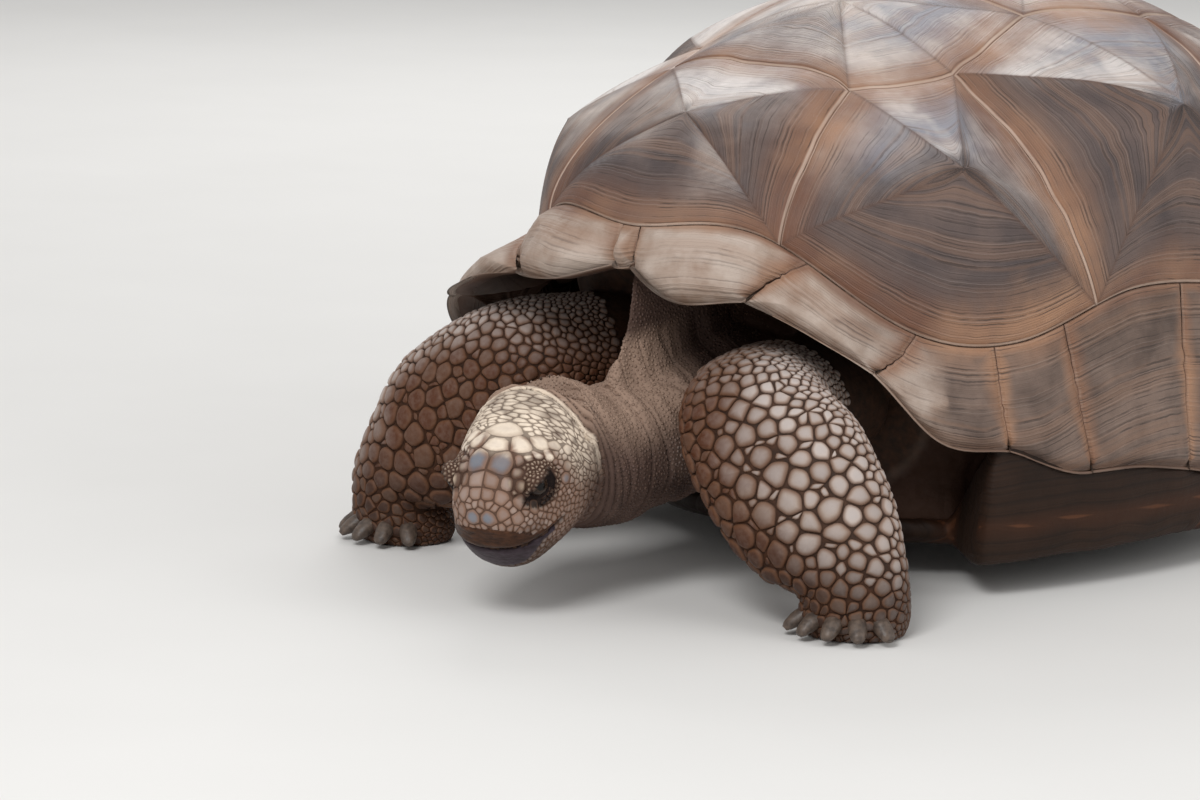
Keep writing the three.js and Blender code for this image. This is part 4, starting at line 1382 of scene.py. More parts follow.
def hide_of_the_body():
    paint = Paint("hide")
    broad, fine = paint.noise(11.0, 3.0), paint.noise(110.0, 4.0)
    colour = hide_colour(paint, broad, fine)
    bed = paint.attribute("leg") * 0.94
    colour = paint.blend(bed, colour, paint.ramp(fine, (0.35, shade(38, 22, 13)), (0.7, shade(70, 43, 27))))
    coat = paint.attribute("coat") * (1 - paint.attribute("dark")) * 0.7
    colour = paint.blend(coat, colour, shade(62, 42, 32))
    return paint.finish(colour, 0.62 + fine * 0.15, paint.bump(fine, 0.0012), specular=0.15)


def horn_of_the_plates():
    paint = Paint("plate_horn")
    growth, seam, crease = paint.attribute("growth"), paint.attribute("seam"), paint.attribute("crease")
    sky, rimmed, cream = paint.attribute("sky"), paint.attribute("rimmed"), paint.attribute("cream")
    broad, blotch, fine = paint.noise(5.0, 3.0), paint.noise(17.0, 5.0), paint.noise(75.0, 4.0)
    cloud = paint.noise(7.5, 4.0, 0.6)
    line = paint.streaks(growth + broad * 14 + blotch * 6 + fine * 1.6, 0.36, 3.0)
    band = paint.streaks(growth + broad * 30, 0.04, 2.0)
    # Painted light and shade: sides that face up, or are given painted light, are pale; sides that face
    # down are dark.
    light = sky + (blotch - 0.5) * 0.4 + (broad - 0.5) * 0.6 + paint.attribute("facet") * 0.24
    bright = paint.between(light, 0.48, 1.02)
    low = paint.ramp(cloud, (0.38, shade(68, 58, 58)), (0.62, shade(99, 82, 76)))
    sheen = (0.36, shade(142, 142, 150)), (0.5, shade(178, 168, 164)), (0.64, shade(212, 198, 188))
    high = paint.ramp(cloud, *sheen)
    colour = paint.blend(bright, low, high)
    # A painted highlight, in patches, on the sides given painted light.
    painted_highlight = paint.between(paint.attribute("facet"), 0.2, 1.3) * paint.between(cloud, 0.34, 0.56)
    colour = paint.blend(painted_highlight * 0.7, colour, shade(232, 226, 223))
    # The rim plates are darker, partly painted shade, and cream towards the front.
    rim = paint.ramp(blotch, (0.35, shade(84, 67, 58)), (0.65, shade(124, 103, 91)))
    creamy = (0.35, shade(150, 125, 108)), (0.6, shade(188, 172, 160))
    rim = paint.blend(cream * 0.9, rim, paint.ramp(blotch, *creamy))
    colour = paint.blend(rimmed, colour, rim)
    colour = paint.blend(paint.between(band, 0.45, 0.62) * 0.3, colour, shade(144, 108, 84))
    reach = 76 - rimmed * 52
    near = paint.between(seam / reach + (cloud - 0.5) * 1.5, 0.95, -0.1) * (blotch * 0.9 + 0.4)
    rusty = (0.4, shade(112, 74, 54)), (0.6, shade(168, 126, 96))
    colour = paint.blend(near, colour, paint.ramp(broad, *rusty))
    patch = paint.between(paint.noise(24.0, 3.0), 0.4, 0.6) * (0.75 - bright * 0.45) * (1 - cream * 0.5)
    colour = paint.blend(paint.between(line, 0.46, 0.34) * patch, colour, shade(54, 41, 36))
    colour = paint.blend(paint.between(line, 0.6, 0.72) * 0.12, colour, shade(190, 176, 166))
    colour = paint.blend(crease * 0.5, colour, shade(88, 60, 46))
    edging = paint.between(seam, 4.2, 2.4) * (1 - rimmed * 0.8) * (cloud * 1.6 - 0.1)
    colour = paint.blend(edging, colour, shade(204, 182, 166))
    colour = paint.blend(paint.between(seam, 1.4, 0.5) * 0.6, colour, shade(112, 76, 58))
    # Painted shade on the undersides of the rim plates' lips.
    under = paint.between(paint.attribute("under"), 0.2, 0.7) * 0.95
    colour = paint.blend(under, colour, shade(88, 60, 44))
    return paint.finish(colour, 0.45 + fine * 0.2, paint.bump(line * 0.8 + fine * 0.5, 0.0018))


# ---------------------------------------------------------------- dressing the pieces


def dress(piece, material, slot, *nodes):
    piece.data.materials.clear()
    piece.data.materials.append(material)
    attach(piece, "root")
    if nodes:
        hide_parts(*nodes)
    return piece


def add_plates():
    horn = horn_of_the_plates()
    for number, plate in enumerate([*vertebrals(), *costals(), *rim_plates()], 1):
        dress(build_plate(plate, 11 * number), horn, "scute", plate.name)


# ---------------------------------------------------------------- scales

# A kind's height is a share of its half width. Each of its rings has a share of the way out from the
# middle, a distance along the normal and a share of the height. A fitted kind's rings follow the skin.
Kind = namedtuple("Kind", "height rings rounds gap fitted", defaults=(False,))
BOSS = Kind(0.4, ((1.0, -1.5, 0.0), (0.95, 0.0, 0.36), (0.8, 0.0, 0.74), (0.5, 0.0, 0.96)), 2, 0.9)
PILLOW = Kind(0.4, ((1.0, -1.3, 0.0), (0.93, 0.0, 0.48), (0.6, 0.0, 0.92)), 1, 0.7)
GRAIN = Kind(0.55, ((1.0, -0.7, 0.0), (0.74, 0.0, 0.72)), 1, 0.6)
SHIELD_RINGS = (1.0, -0.9, 0.0), (0.96, 0.0, 0.5), (0.84, 0.0, 0.9), (0.5, 0.0, 1.0), (0.25, 0.0, 1.0)
SHIELD = Kind(0.1, SHIELD_RINGS, 1, 0.5, True)
FLAKE = Kind(0.2, ((1.0, -0.8, 0.0), (0.9, 0.0, 0.75), (0.5, 0.0, 0.98)), 1, 0.5)
NEIGHBOURS = 16
MEET = 0.78  # how close two scales come, as a share of their half widths
LEAST_HALF_WIDTH = 0.7
TRIED_EVERY = {"head": 1.15, "leg": 1.9, "tail": 1.8}  # gap between the places tried for a scale
FIRST_OUTLINE = [(math.cos(a), math.sin(a)) for a in np.linspace(0, 2 * math.pi, 12, endpoint=False)]
PATCH = 0.003  # width of a scale on its piece's map
MAP_EDGE, MAP_WIDTH = 0.02, 0.96  # a map's margin, and what is left between its margins
SEED = 7


def picked(rows, chosen):
    return [row[chosen] for row in rows]


class Ground:
    """The skin as scales see it: random places on it, and the nearest place and normal to a point."""

    def __init__(self, mesh):
        mesh.calc_loop_triangles()
        self.corners = read(mesh.loop_triangles, "vertices", 3, np.int64)
        self.points = points_of(mesh)
        self.normals = normals_of(mesh)
        a, b, c = (self.points[self.corners[:, i]] for i in range(3))
        self.areas = np.linalg.norm(np.cross(b - a, c - a), axis=1) / 2
        self.middles = (a + b + c) / 3
        self.tree = BVHTree.FromPolygons(self.points.tolist(), self.corners.tolist())
        self.limbs = {name: line.share(self.middles) for name, line in LINES.items()}

    def nearest_to(self, name):
        """Which triangles lie no nearer to another limb's middle line than to the named one's."""
        own = self.limbs[name][1]
        return np.all([own <= far for _, far in self.limbs.values()], axis=0)

    def under(self, places):
        """The nearest places on the skin, and its normals there."""
        found = [self.tree.find_nearest(place) for place in places]
        return np.array([near for near, *_ in found]), np.array([normal for _, normal, *_ in found])

    def sample(self, chosen, spacing, rng):
        """Random places on the chosen triangles, about one to each spacing squared, with their normals."""
        areas = np.where(chosen, self.areas, 0)
        count = int(areas.sum() / spacing ** 2)
        picked = self.corners[rng.choice(len(areas), count, p=areas / areas.sum())]
        u, v = rng.random((2, count, 1))
        fold = u + v > 1
        u, v = np.where(fold, 1 - u, u), np.where(fold, 1 - v, v)
        share = np.concatenate((1 - u - v, u, v), 1)[..., None]
        return (self.points[picked] * share).sum(1), unit((self.normals[picked] * share).sum(1))


def tree_of(points):
    tree = KDTree(len(points))
    for i, point in enumerate(points):
        tree.insert(point, i)
    tree.balance()
    return tree


def spread_out(points, room, order):
    """Which points to keep, in the given order, so that each has its own room."""
    tree = tree_of(points)
    free = np.ones(len(points), bool)
    most = room.max()
    kept = []
    for i in order:
        if free[i]:
            kept.append(i)
            for _, j, far in tree.find_range(points[i], room[i] + most):
                if far < room[i] + room[j]:
                    free[j] = False
    return np.array(kept)


def settled(points, normals, sizes, ground, rounds=3):
    """The points pushed apart a little where they crowd, and laid on the skin again."""
    for _ in range(rounds):
        tree = tree_of(points)
        push = np.zeros_like(points)
        for i, point in enumerate(points):
            for _, j, far in tree.find_n(point, 8):
                wanted = (sizes[i] + sizes[j]) * 0.92
                if j != i and 1e-6 < far < wanted:
                    push[i] += (point - points[j]) / far * (wanted - far) * 0.3
        points, facing = ground.under(points + push)
        normals = unit(normals + 0.5 * facing)
    return points, normals


def clipped(outline, way_x, way_y, limit):
    """A convex outline cut off where it passes a line at a distance of limit in the given direction."""
    out = []
    count = len(outline)
    for i in range(count):
        ax, ay = outline[i]
        bx, by = outline[(i + 1) % count]
        a, b = ax * way_x + ay * way_y - limit, bx * way_x + by * way_y - limit
        if a <= 0:
            out.append((ax, ay))
        if (a < 0) != (b < 0) and a != b:
            t = a / (a - b)
            out.append((ax + (bx - ax) * t, ay + (by - ay) * t))
    return out


def cut_corners(outline, times):
    outline = np.array(outline)
    for _ in range(times):
        after = np.roll(outline, -1, axis=0)
        outline = np.stack((mix(outline, after, 0.22), mix(outline, after, 0.78)), 1).reshape(-1, 2)
    return outline


def cell_outline(i, points, sizes, axes, tree, gap, stretch):
    """The outline of the skin nearer to one middle than to the rest, on the plane that touches it."""
    e1, e2 = axes
    size = sizes[i]
    outline = [(x * size * 1.5, y * size * 1.5) for x, y in FIRST_OUTLINE]
    for _, j, _ in tree.find_n(points[i], NEIGHBOURS):
        toward = points[j] - points[i]
        x, y = float(toward @ e1) / stretch, float(toward @ e2)
        flat, far = math.hypot(x, y), float(np.linalg.norm(toward))
        if j == i or flat < 0.3 * far / stretch:
            continue
        far = max(flat, far / stretch)
        limit = (far ** 2 + size ** 2 - sizes[j] ** 2) / (2 * far)
        outline = clipped(outline, x / flat, y / flat, max(limit, 0.15 * far) - gap / 2)
        if len(outline) < 3:
            return None
    return [(x * stretch, y) for x, y in outline]


def scale_rings(middle, axes, outline, kind, height, ground):
    """Rings of points from a scale's foot, on the skin, up its dome, and last the point on its top."""
    e1, e2, up = axes
    rim, tilt = ground.under(middle + e1 * outline[:, :1] + e2 * outline[:, 1:])
    tilt = unit(tilt + up)
    hub = ground.under([middle])[0][0]
    chord = np.maximum((rim - hub) @ up, -2.5 * height).mean()
    rings = []
    for share, sink, lift in kind.rings:
        row = mix(hub + up * chord * (1 - share), rim, share)
        if kind.fitted and share < 1:
            row = ground.under(row)[0]
        rings.append(row + tilt * (lift * height + sink))
    return rings + [(hub + up * height * 1.02)[None]]


def grow_scales(name, ground, seeds, unwrap, rng):
    """Domed scales that share out the skin between their middles, as one mesh.

    seeds hold the middles, normals, half widths, lies, kinds and stretches, and unwrap lays the
    middles on a map."""
    points, normals, sizes, lie, kinds, stretch = seeds
    tree = tree_of(points)
    all_points, all_faces, crest, tone, roots, patch = [], [], [], [], [], []
    start = 0
    along = unit(lie - normals * (lie * normals).sum(1, keepdims=True))
    across = np.cross(normals, along)
    spots = unwrap(points)
    for i, kind in enumerate(kinds):
        e1, e2 = along[i], across[i]
        outline = cell_outline(i, points, sizes, (e1, e2), tree, kind.gap, stretch[i])
        if outline is None:
            continue
        outline = cut_corners(outline, kind.rounds)
        centre = outline.mean(0)
        outline = outline - centre
        width = float(np.sqrt((outline ** 2).sum(1)).mean())
        if width < LEAST_HALF_WIDTH:
            continue
        middle = points[i] + e1 * centre[0] + e2 * centre[1]
        height = kind.height * min(width, 1.25 * sizes[i]) * (0.85 + 0.3 * rng.random())
        all_points += scale_rings(middle, (e1, e2, normals[i]), outline, kind, height, ground)
        count = len(outline)
        added = count * len(kind.rings) + 1
        top = start + added - 1
        all_faces += ring_faces(len(kind.rings), count, start)
        all_faces += [(top - count + k, top - count + (k + 1) % count, top) for k in range(count)]
        crest += [np.full(count, 0.0 if sink else 1.04 - share) for share, sink, _ in kind.rings]
        crest.append(np.ones(1))
        tone.append(np.full(added, rng.random()))
        roots.append(np.tile(spots[i], (added, 1)))
        local = np.vstack([outline * share for share, _, _ in kind.rings] + [np.zeros((1, 2))])
        patch.append(local / (np.abs(outline).max() * 2) * PATCH)
        start += added
    mesh_points = above_floor(np.vstack(all_points), LOWEST["scales"])
    attributes = {"crest": np.concatenate(crest), "tone": np.concatenate(tone), **markings(mesh_points)}
    piece = make_object(name, mesh_points, all_faces, attributes)
    lay_map(piece.data, np.vstack(roots) + np.vstack(patch))
    return piece


def lay_map(mesh, spots):
    corners = read(mesh.loops, "vertex_index", 1, np.int64)[:, 0]
    mesh.uv_layers.new(name="OFBake").data.foreach_set("uv", np.clip(spots[corners], 0, 1).ravel())


def on_map(across, up):
    """Places on a map from shares of the way across it and up it."""
    return np.stack((MAP_EDGE + MAP_WIDTH * across, MAP_EDGE + MAP_WIDTH * up), -1)


def tube_map(line, face):
    """The skin of a limb slit along its back and laid flat, its length up the map."""

    def unwrap(points):
        number, _ = line.nearest(points)
        ahead = line.ahead[number]
        front = unit(face - ahead * (ahead @ face)[:, None])
        side = np.cross(ahead, front)
        out = points - line.places[number]
        turn = np.arctan2((out * side).sum(1), (out * front).sum(1)) / (2 * math.pi) + 0.5
        return on_map(turn, number / (LINE_PLACES - 1))

    return unwrap


def on_leg(name, ground, fore, outer):
    """Which of the skin's triangles carry a leg's scales; outer is 1 on the left and -1 on the right."""
    share, far = ground.limbs[name]
    x, y, z = ground.middles.T
    near = (far < 118) & (z > 3.5) & (share > 0.16) & ground.nearest_to(name)
    near &= (np.abs(x) > 75) & (np.sign(x) == outer)
    return near & (y < -330 if fore else y > 250)


def add_leg_scales(name, ground, material, rng):
    """Scales of a leg, large ones in front, with a big one over each claw and little ones strewn in."""
    stations = LEGS[name]
    fore = name.startswith("front")
    sole = stations[-1].at
    outer = np.sign(sole[0])
    face = stations[3].face if fore else vec(0, -1, 0)
    points, normals = ground.sample(on_leg(name, ground, fore, outer), TRIED_EVERY["leg"], rng)
    unwrap = tube_map(LINES[name], face)
    turn, share = ((unwrap(points) - MAP_EDGE) / MAP_WIDTH).T
    middle = 0.5 + (0.13 * outer * ease(0.75, 0.35, share) if fore else 0)
    facing = ease(0.42, 0.1, np.abs(turn - middle))
    broad = bump_at(share, 0.5 if fore else 0.7, 0.42 if fore else 0.36) * facing
    rows = ease(0.2, 0.36, share) * ease(0.98, 0.75, share)
    sizes = 3.2 + 2.6 * rows * (0.5 + 0.5 * facing) + (7.4 if fore else 5.0) * broad
    sizes *= 0.7 + 0.45 * rng.random(len(sizes))
    little = rng.random(len(sizes)) < 0.2 * ease(0.4, 0.8, broad)
    sizes = np.where(little, 4.6 + 2.2 * rng.random(len(sizes)), sizes)
    for root, way, width in claw_roots(name):
        over = np.linalg.norm(points - (root + UP * 15 - way * 3), axis=1)
        sizes = np.where(over < 9, 8.5, sizes)
        clear = np.linalg.norm(points - (root + way * 8 - UP * 4), axis=1) > width + 2.5
        points, normals, sizes, little, broad = picked((points, normals, sizes, little, broad), clear)
    room = sizes * np.where(little | (broad < 0.3), MEET, mix(MEET, 0.84, ease(0.4, 0.8, broad)))
    kept = spread_out(points, room, np.argsort(little * 10 - 0.05 * sizes + rng.random(len(sizes))))
    points, normals, sizes = picked((points, normals, sizes), kept)
    points, normals = settled(points, normals, sizes, ground)
    lie = np.cross(normals, unit(sole - stations[2].at))
    kinds = [BOSS if size > 6.6 else PILLOW for size in sizes]
    stretch = 1.0 + 0.3 * (sizes < 8)
    seeds = (points, normals, sizes, lie, kinds, stretch)
    return dress(grow_scales("scales_" + name, ground, seeds, unwrap, rng), material, "skin")


# Shields on the head, as back, aside, above, half length and breadth over length. Those off its middle
# line are on both sides.
SHIELDS = (
    (93, 0, 46, 12, 1.8), (71, 0, 46, 11, 1.35), (47, 15.5, 43, 14.5, 1.0), (5, 9, 0, 8.5, 1.05),
    (67, 38, 33, 5.5, 1.3), (75, 45, 28, 5.5, 1.3), (83, 52, 21, 5.5, 1.3), (77, 28, 42, 10, 1.15),
    (91, 41, 35, 9, 1.2), (100, 54, 24, 6, 1.2), (57, 34, 36, 6, 1.0), (46, 33, 32, 6, 1.0),
    (27, 9.5, 35, 9, 1.05), (31, 27, 28, 7.5, 1.05), (16, 7.5, 22, 6.5, 1.1), (18, 22, 18, 7, 1.1),
    (36, 38, 20, 6.5, 0.9), (27, 35, 7, 7, 0.9), (8, 24, 4, 7, 1.0), (18, 33, -8, 7, 1.0),
    (81, 69, -6, 6.5, 1.0), (93, 68, 3, 6, 1.0), (106, 62, 12, 6, 1.0), (34, 46, -8, 6, 1.2),
)
SHIELD_ROOM = 1.4  # how far a shield keeps other scales off, as a share of its size
CROWN_STRETCH = 2.8  # breadth over length of the scales on the crown


def head_map(points):
    """The skin of the head slit along its throat and laid flat."""
    back, aside, above = head_place(points)
    turn = np.arctan2(aside, above + HEAD_CORE) / (2 * math.pi) + 0.5
    return on_map(turn, np.clip((back + 10) / 220, 0, 1))


def crown_reach(points):
    back, aside, above = head_place(points)
    return ease(98, 112, back) * ease(100, 70, head_angle(aside, above))


def beak_reach(points):
    """How far inside the edges of the upper and the lower horny sheath a place is."""
    back, aside, above = head_place(points)
    gap = above - mouth_height(back)
    along_lip = np.minimum(BEAK["lip"] - gap, MOUTH["corner"] - 8 - back) * 0.8
    under_lip = np.minimum(BEAK["lip"] + gap, MOUTH["corner"] - 12 - back) * 0.8
    upper = np.minimum(np.maximum(-12 - 1.2 * above - back, along_lip), gap - 0.6)
    lower = np.minimum(np.maximum(34 + 0.67 * (above + 45) - back, under_lip), -gap - 0.6)
    near = (back < 75) & (back > -30) & (np.abs(aside) < 90) & (above > -125)
    return np.where(near, upper, -FAR_OFF), np.where(near, lower, -FAR_OFF)


def inside_shields(points, firsts, shields):
    """Which points lie so near to a shield that no other scale may start there."""
    covered = np.zeros(len(points), bool)
    for place, (_, _, _, size, stretch) in zip(firsts, shields):
        away = points - place
        aside = away @ HEAD_LEFT
        rest = np.linalg.norm(away - aside[:, None] * HEAD_LEFT, axis=1)
        covered |= np.hypot(aside / stretch, rest) < size * SHIELD_ROOM
    return covered


def add_head_scales(ground, material, rng):
    back, aside, above = head_place(ground.middles)
    angle = head_angle(aside, above)
    near = (back > -12) & (back < fold_start(angle) + 7) & (from_core(aside, above) < 108)
    upper, lower = beak_reach(ground.middles)
    near &= (upper < 0.5) & (lower < 0.5) & (np.abs(above - mouth_height(back)) > 2.6)
    points, normals = ground.sample(near, TRIED_EVERY["head"], rng)
    shields = [(b, side * a, h, *rest) for b, a, h, *rest in SHIELDS for side in ((1, -1) if a else (1,))]
    firsts, facing = ground.under([on_head(b, a, h) for b, a, h, *_ in shields])
    clear = ~inside_shields(points, firsts, shields)
    points = np.vstack([firsts, points[clear]])
    normals = np.vstack([facing, normals[clear]])
    back, aside, above = head_place(points)
    lids = socket_reach(points) < 1.0
    count = len(firsts)
    cheek = 0.7 * ease(70, 100, back) * ease(60, 100, head_angle(aside, above))
    sizes = 2.8 + 1.3 * rng.random(len(points)) + cheek
    sizes = np.where(lids, 1.9 + 0.8 * rng.random(len(points)), sizes)
    sizes[:count] = [size for *_, size, _ in shields]
    crown = crown_reach(points)
    stretch = mix(1.0, CROWN_STRETCH, crown)
    stretch[:count] = [wide for *_, wide in shields]
    squeezed = points - np.outer(aside * crown * (1 - 1 / CROWN_STRETCH), HEAD_LEFT)
    order = np.concatenate((np.arange(count), count + rng.permutation(len(points) - count)))
    room = sizes * MEET
    room[:count] = 1.0
    kept = spread_out(squeezed, room, order)
    kept = kept[nearest_slit(points)[kept] > 1.2]
    points, normals, sizes, lids, stretch = picked((points, normals, sizes, lids, stretch), kept)
    lie = np.cross(normals, HEAD_BACK)
    kinds = [GRAIN if lid else (SHIELD if size > 5 else FLAKE) for lid, size in zip(lids, sizes)]
    seeds = (points, normals, sizes, lie, kinds, stretch)
    return dress(grow_scales("scales_head", ground, seeds, head_map, rng), material, "skin")


def add_tail_scales(ground, material, rng):
    share, far = ground.limbs["tail"]
    near = (far < 75) & (share > 0.22) & (ground.middles[:, 1] > 480) & ground.nearest_to("tail")
    points, normals = ground.sample(near, TRIED_EVERY["tail"], rng)
    sizes = (3.4 + 1.4 * rng.random(len(points))) * ease(1.25, 0.6, LINES["tail"].share(points)[0])
    kept = spread_out(points, sizes * MEET, rng.permutation(len(points)))
    points, normals, sizes = picked((points, normals, sizes), kept)
    lie = np.cross(normals, unit(TAIL[-1].at - TAIL[0].at))
    seeds = (points, normals, sizes, lie, [PILLOW] * len(points), np.full(len(points), 1.25))
    unwrap = tube_map(LINES["tail"], vec(0, -1, 0))
    return dress(grow_scales("scales_tail", ground, seeds, unwrap, rng), material, "skin")


class Growth:
    """A tree of geometry nodes in the making, with named inputs for its sizes."""

    def __init__(self, name, inputs):
        self.tree = bpy.data.node_groups.new(name, "GeometryNodeTree")
        sockets = self.tree.interface
        sockets.new_socket("Geometry", in_out="OUTPUT", socket_type="NodeSocketGeometry")
        self.identifiers = {}
        for title, kind in {"Geometry": "Geometry", **inputs}.items():
            made = sockets.new_socket(title, in_out="INPUT", socket_type="NodeSocket" + kind)
            self.identifiers[title] = made.identifier
        self.given = self.tree.nodes.new("NodeGroupInput").outputs

    def node(self, kind, settings=None, sockets=None):
        return new_node(self.tree, kind, settings, sockets)

    def kept_as(self, geometry, name, value):
        """The geometry with a number kept at each point under a name."""
        settings = {"data_type": "FLOAT", "domain": "POINT"}
        sockets = {"Geometry": geometry, "Name": name, "Value": value}
        return self.node("GeometryNodeStoreNamedAttribute", settings, sockets)[0]

    def grown(self, piece, values):
        """The piece with the tree's result as its plain mesh."""
        grow = piece.modifiers.new("grow", "NODES")
        grow.node_group = self.tree
        for title, value in values.items():
            grow[self.identifiers[title]] = value
        return baked(piece)


def grain_tree():
    """Flattened grains set close together over a surface, thinner where its attribute grainy is low."""
    sizes = {"Spacing": "Float", "Width": "Float", "Flatness": "Float"}
    growth = Growth("grains", {**sizes, "Seed": "Int", "Material": "Material"})
    given = growth.given
    named = growth.node("GeometryNodeInputNamedAttribute", {"data_type": "FLOAT"}, {"Name": "grainy"})
    dots = growth.node(
        "GeometryNodeDistributePointsOnFaces",
        {"distribute_method": "POISSON"},
        {
            "Mesh": given["Geometry"],
            "Distance Min": given["Spacing"],
            "Density Max": 1e6,
            "Density Factor": named["Attribute"],
            "Seed": given["Seed"],
        },
    )
    chance = growth.node("FunctionNodeRandomValue", {"data_type": "FLOAT"}, {"Seed": given["Seed"]})
    spots = growth.kept_as(dots["Points"], "tone", chance[1])
    grain = growth.node("GeometryNodeMeshIcoSphere", None, {"Radius": 1.0, "Subdivisions": 1})["Mesh"]
    axes = growth.node("ShaderNodeSeparateXYZ", None, {0: growth.node("GeometryNodeInputPosition")[0]})
    for name, axis in (("local_x", axes["X"]), ("local_y", axes["Y"]), ("crest", axes["Z"])):
        grain = growth.kept_as(grain, name, axis)
    flat = growth.node("ShaderNodeCombineXYZ", None, {"X": 1.0, "Y": 1.0, "Z": given["Flatness"]})[0]
    grain = growth.node("GeometryNodeTransform", None, {"Geometry": grain, "Scale": flat})["Geometry"]
    varied = growth.node("FunctionNodeRandomValue", {"data_type": "FLOAT"}, {2: 0.7, 3: 1.2, "Seed": 5})[1]
    size = growth.node("ShaderNodeMath", {"operation": "MULTIPLY"}, {0: varied, 1: given["Width"]})[0]
    sockets = {"Points": spots, "Instance": grain, "Rotation": dots["Rotation"], "Scale": size}
    placed_grains = growth.node("GeometryNodeInstanceOnPoints", None, sockets)[0]
    real = growth.node("GeometryNodeRealizeInstances", None, {"Geometry": placed_grains})[0]
    smooth = growth.node("GeometryNodeSetShadeSmooth", None, {"Geometry": real})[0]
    sockets = {"Geometry": smooth, "Material": given["Material"]}
    growth.node("NodeGroupOutput", None, {0: growth.node("GeometryNodeSetMaterial", None, sockets)[0]})
    return growth


NECK_GRAINS = {"Spacing": 3.9 * MM, "Width": 2.0 * MM, "Flatness": 0.32, "Seed": 3}


def add_grains(name, ground, weight, unwrap, sizes, material):
    """Grains over the part of the skin where weight, a number for each of its points, is above 0."""
    chosen = (weight[ground.corners] > 0.02).all(1)
    used, corners = np.unique(ground.corners[chosen], return_inverse=True)
    points = ground.points[used]
    spots = unwrap(points)
    attributes = {"grainy": weight[used], "map_u": spots[:, 0], "map_v": spots[:, 1], **markings(points)}
    piece = make_object(name, points, corners.reshape(-1, 3).tolist(), attributes)
    mesh = grain_tree().grown(piece, {**sizes, "Material": material}).data
    keys = ("map_u", "map_v", "local_x", "local_y")
    numbers = np.hstack([read(mesh.attributes[key].data, "value", 1, np.float32) for key in keys])
    lay_map(mesh, numbers[:, :2] + PATCH / 2 * numbers[:, 2:])
    return dress(piece, material, "skin")


def neck_weight(points):
    """Where the neck is grainy: from the folds behind the head to the shell."""
    back, aside, above = head_place(points)
    _, far = LINES["neck"].nearest(points)
    behind = ease(-2, 10, back - fold_start(head_angle(aside, above)) - NECK_FOLDS["count"] * 4)
    limbs = np.min([LINES[name].nearest(points)[1] for name in ("front_left", "front_right")], axis=0)
    clear = ease(-4, 12, limbs - far)
    return behind * ease(-300, -350, points[:, 1]) * clear * ease(0, 40, 130 - np.abs(points[:, 0]))


def scale_horn():
    paint = Paint("scale_horn")
    crest, tone, lids = paint.attribute("crest"), paint.attribute("tone"), paint.attribute("lids")
    broad, fine = paint.noise(11.0, 3.0), paint.noise(150.0, 4.0)
    colour = hide_colour(paint, broad, fine)
    leg = paint.attribute("leg")
    # Where the scales' paler tops, a painted highlight, show, and some scales are paler by chance: on the
    # legs, less where rust-brown or low, and a little on the face.
    light = leg * (1 - paint.attribute("rust")) * (1 - paint.attribute("dust") * 0.8)
    light = light + paint.attribute("tan") * 0.4
    worn = paint.between(tone, 0.5, 0.0) * 0.35 * (1 - paint.attribute("pale") * 0.7)
    colour = paint.blend(worn, colour, shade(104, 80, 64))
    colour = paint.blend(paint.between(tone, 0.6, 1.0) * light * 0.45, colour, shade(208, 196, 188))
    colour = paint.blend(paint.between(crest, 0.2, 0.8) * light * 0.45, colour, shade(176, 170, 170))
    beads = lids * paint.between(crest, 0.2, 0.9) * (1 - paint.attribute("dark"))
    colour = paint.blend(beads * (0.25 + tone * 0.6), colour, shade(192, 172, 150))
    colour = paint.blend(paint.between(crest, 0.5, 0.1) * (0.3 + leg * 0.35), colour, shade(104, 68, 44))
    colour = paint.blend(paint.between(crest, 0.14, 0.02) * 0.85, colour, shade(50, 31, 21))
    return paint.finish(colour, 0.5 + fine * 0.2, paint.bump(fine, 0.0006), specular=0.3)


# ---------------------------------------------------------------- eyes, beak, claws and plastron


def wet_eye():
    paint = Paint("eye")
    gaze = paint.attribute("gaze")
    pupil = (0.0, (0.004, 0.003, 0.003)), (0.3, (0.005, 0.004, 0.003))
    iris = (0.36, (0.035, 0.02, 0.012)), (0.8, (0.02, 0.013, 0.01))
    colour = paint.ramp(gaze, *pupil, *iris)
    return paint.finish(colour, 0.2, paint.bump(paint.noise(300.0), 0.00005), specular=0.25)


def add_eyes():
    wet = wet_eye()
    for side, name in ((1, "eye_left"), (-1, "eye_right")):
        centre, look = eye_centre(side), eye_look(side)
        across = unit(np.cross(look, UP))
        above = np.cross(across, look)
        turn = np.linspace(0, 2 * math.pi, 40, endpoint=False)[:, None]
        rings, gaze_at = [], []
        for polar in np.linspace(0.04, math.pi - 0.04, 28):
            out = look * math.cos(polar) + (across * np.cos(turn) + above * np.sin(turn)) * math.sin(polar)
            rings.append(centre + out * (EYE["radius"] - 0.5))
            gaze_at.append(np.full(len(turn), polar / 1.2))
        points, faces = closed_body(rings)
        gaze_at = np.concatenate(gaze_at + [[0.0], [1.0]])
        ball = make_object("eyeball_" + name[4:], points, faces, {"gaze": gaze_at})
        turn_out(ball)
        dress(ball, wet, "eye", name)


BEAK = {"lift": 1.1, "under": 1.6, "lip": 8.5, "margin": -0.8}
BEAK_SHADES = {
    "beak_upper": (shade(38, 22, 14), shade(96, 62, 42)),
    "beak_lower": (shade(44, 36, 44), shade(86, 74, 86)),
}


def horn_of_the_beak(name):
    paint = Paint("horn_" + name)
    dim, light = BEAK_SHADES[name]
    fine = paint.noise(90.0, 4.0, stretch=(1, 1, 3))
    # The dark marking: painted shade by the mouth's gap, and darker towards the bottom of the muzzle.
    dark = paint.attribute("dark") * 0.8
    colour = paint.blend(dark, paint.ramp(fine, (0.3, dim), (0.7, light)), shade(40, 28, 23))
    return paint.finish(colour, 0.45, paint.bump(fine, 0.0012), specular=0.15)


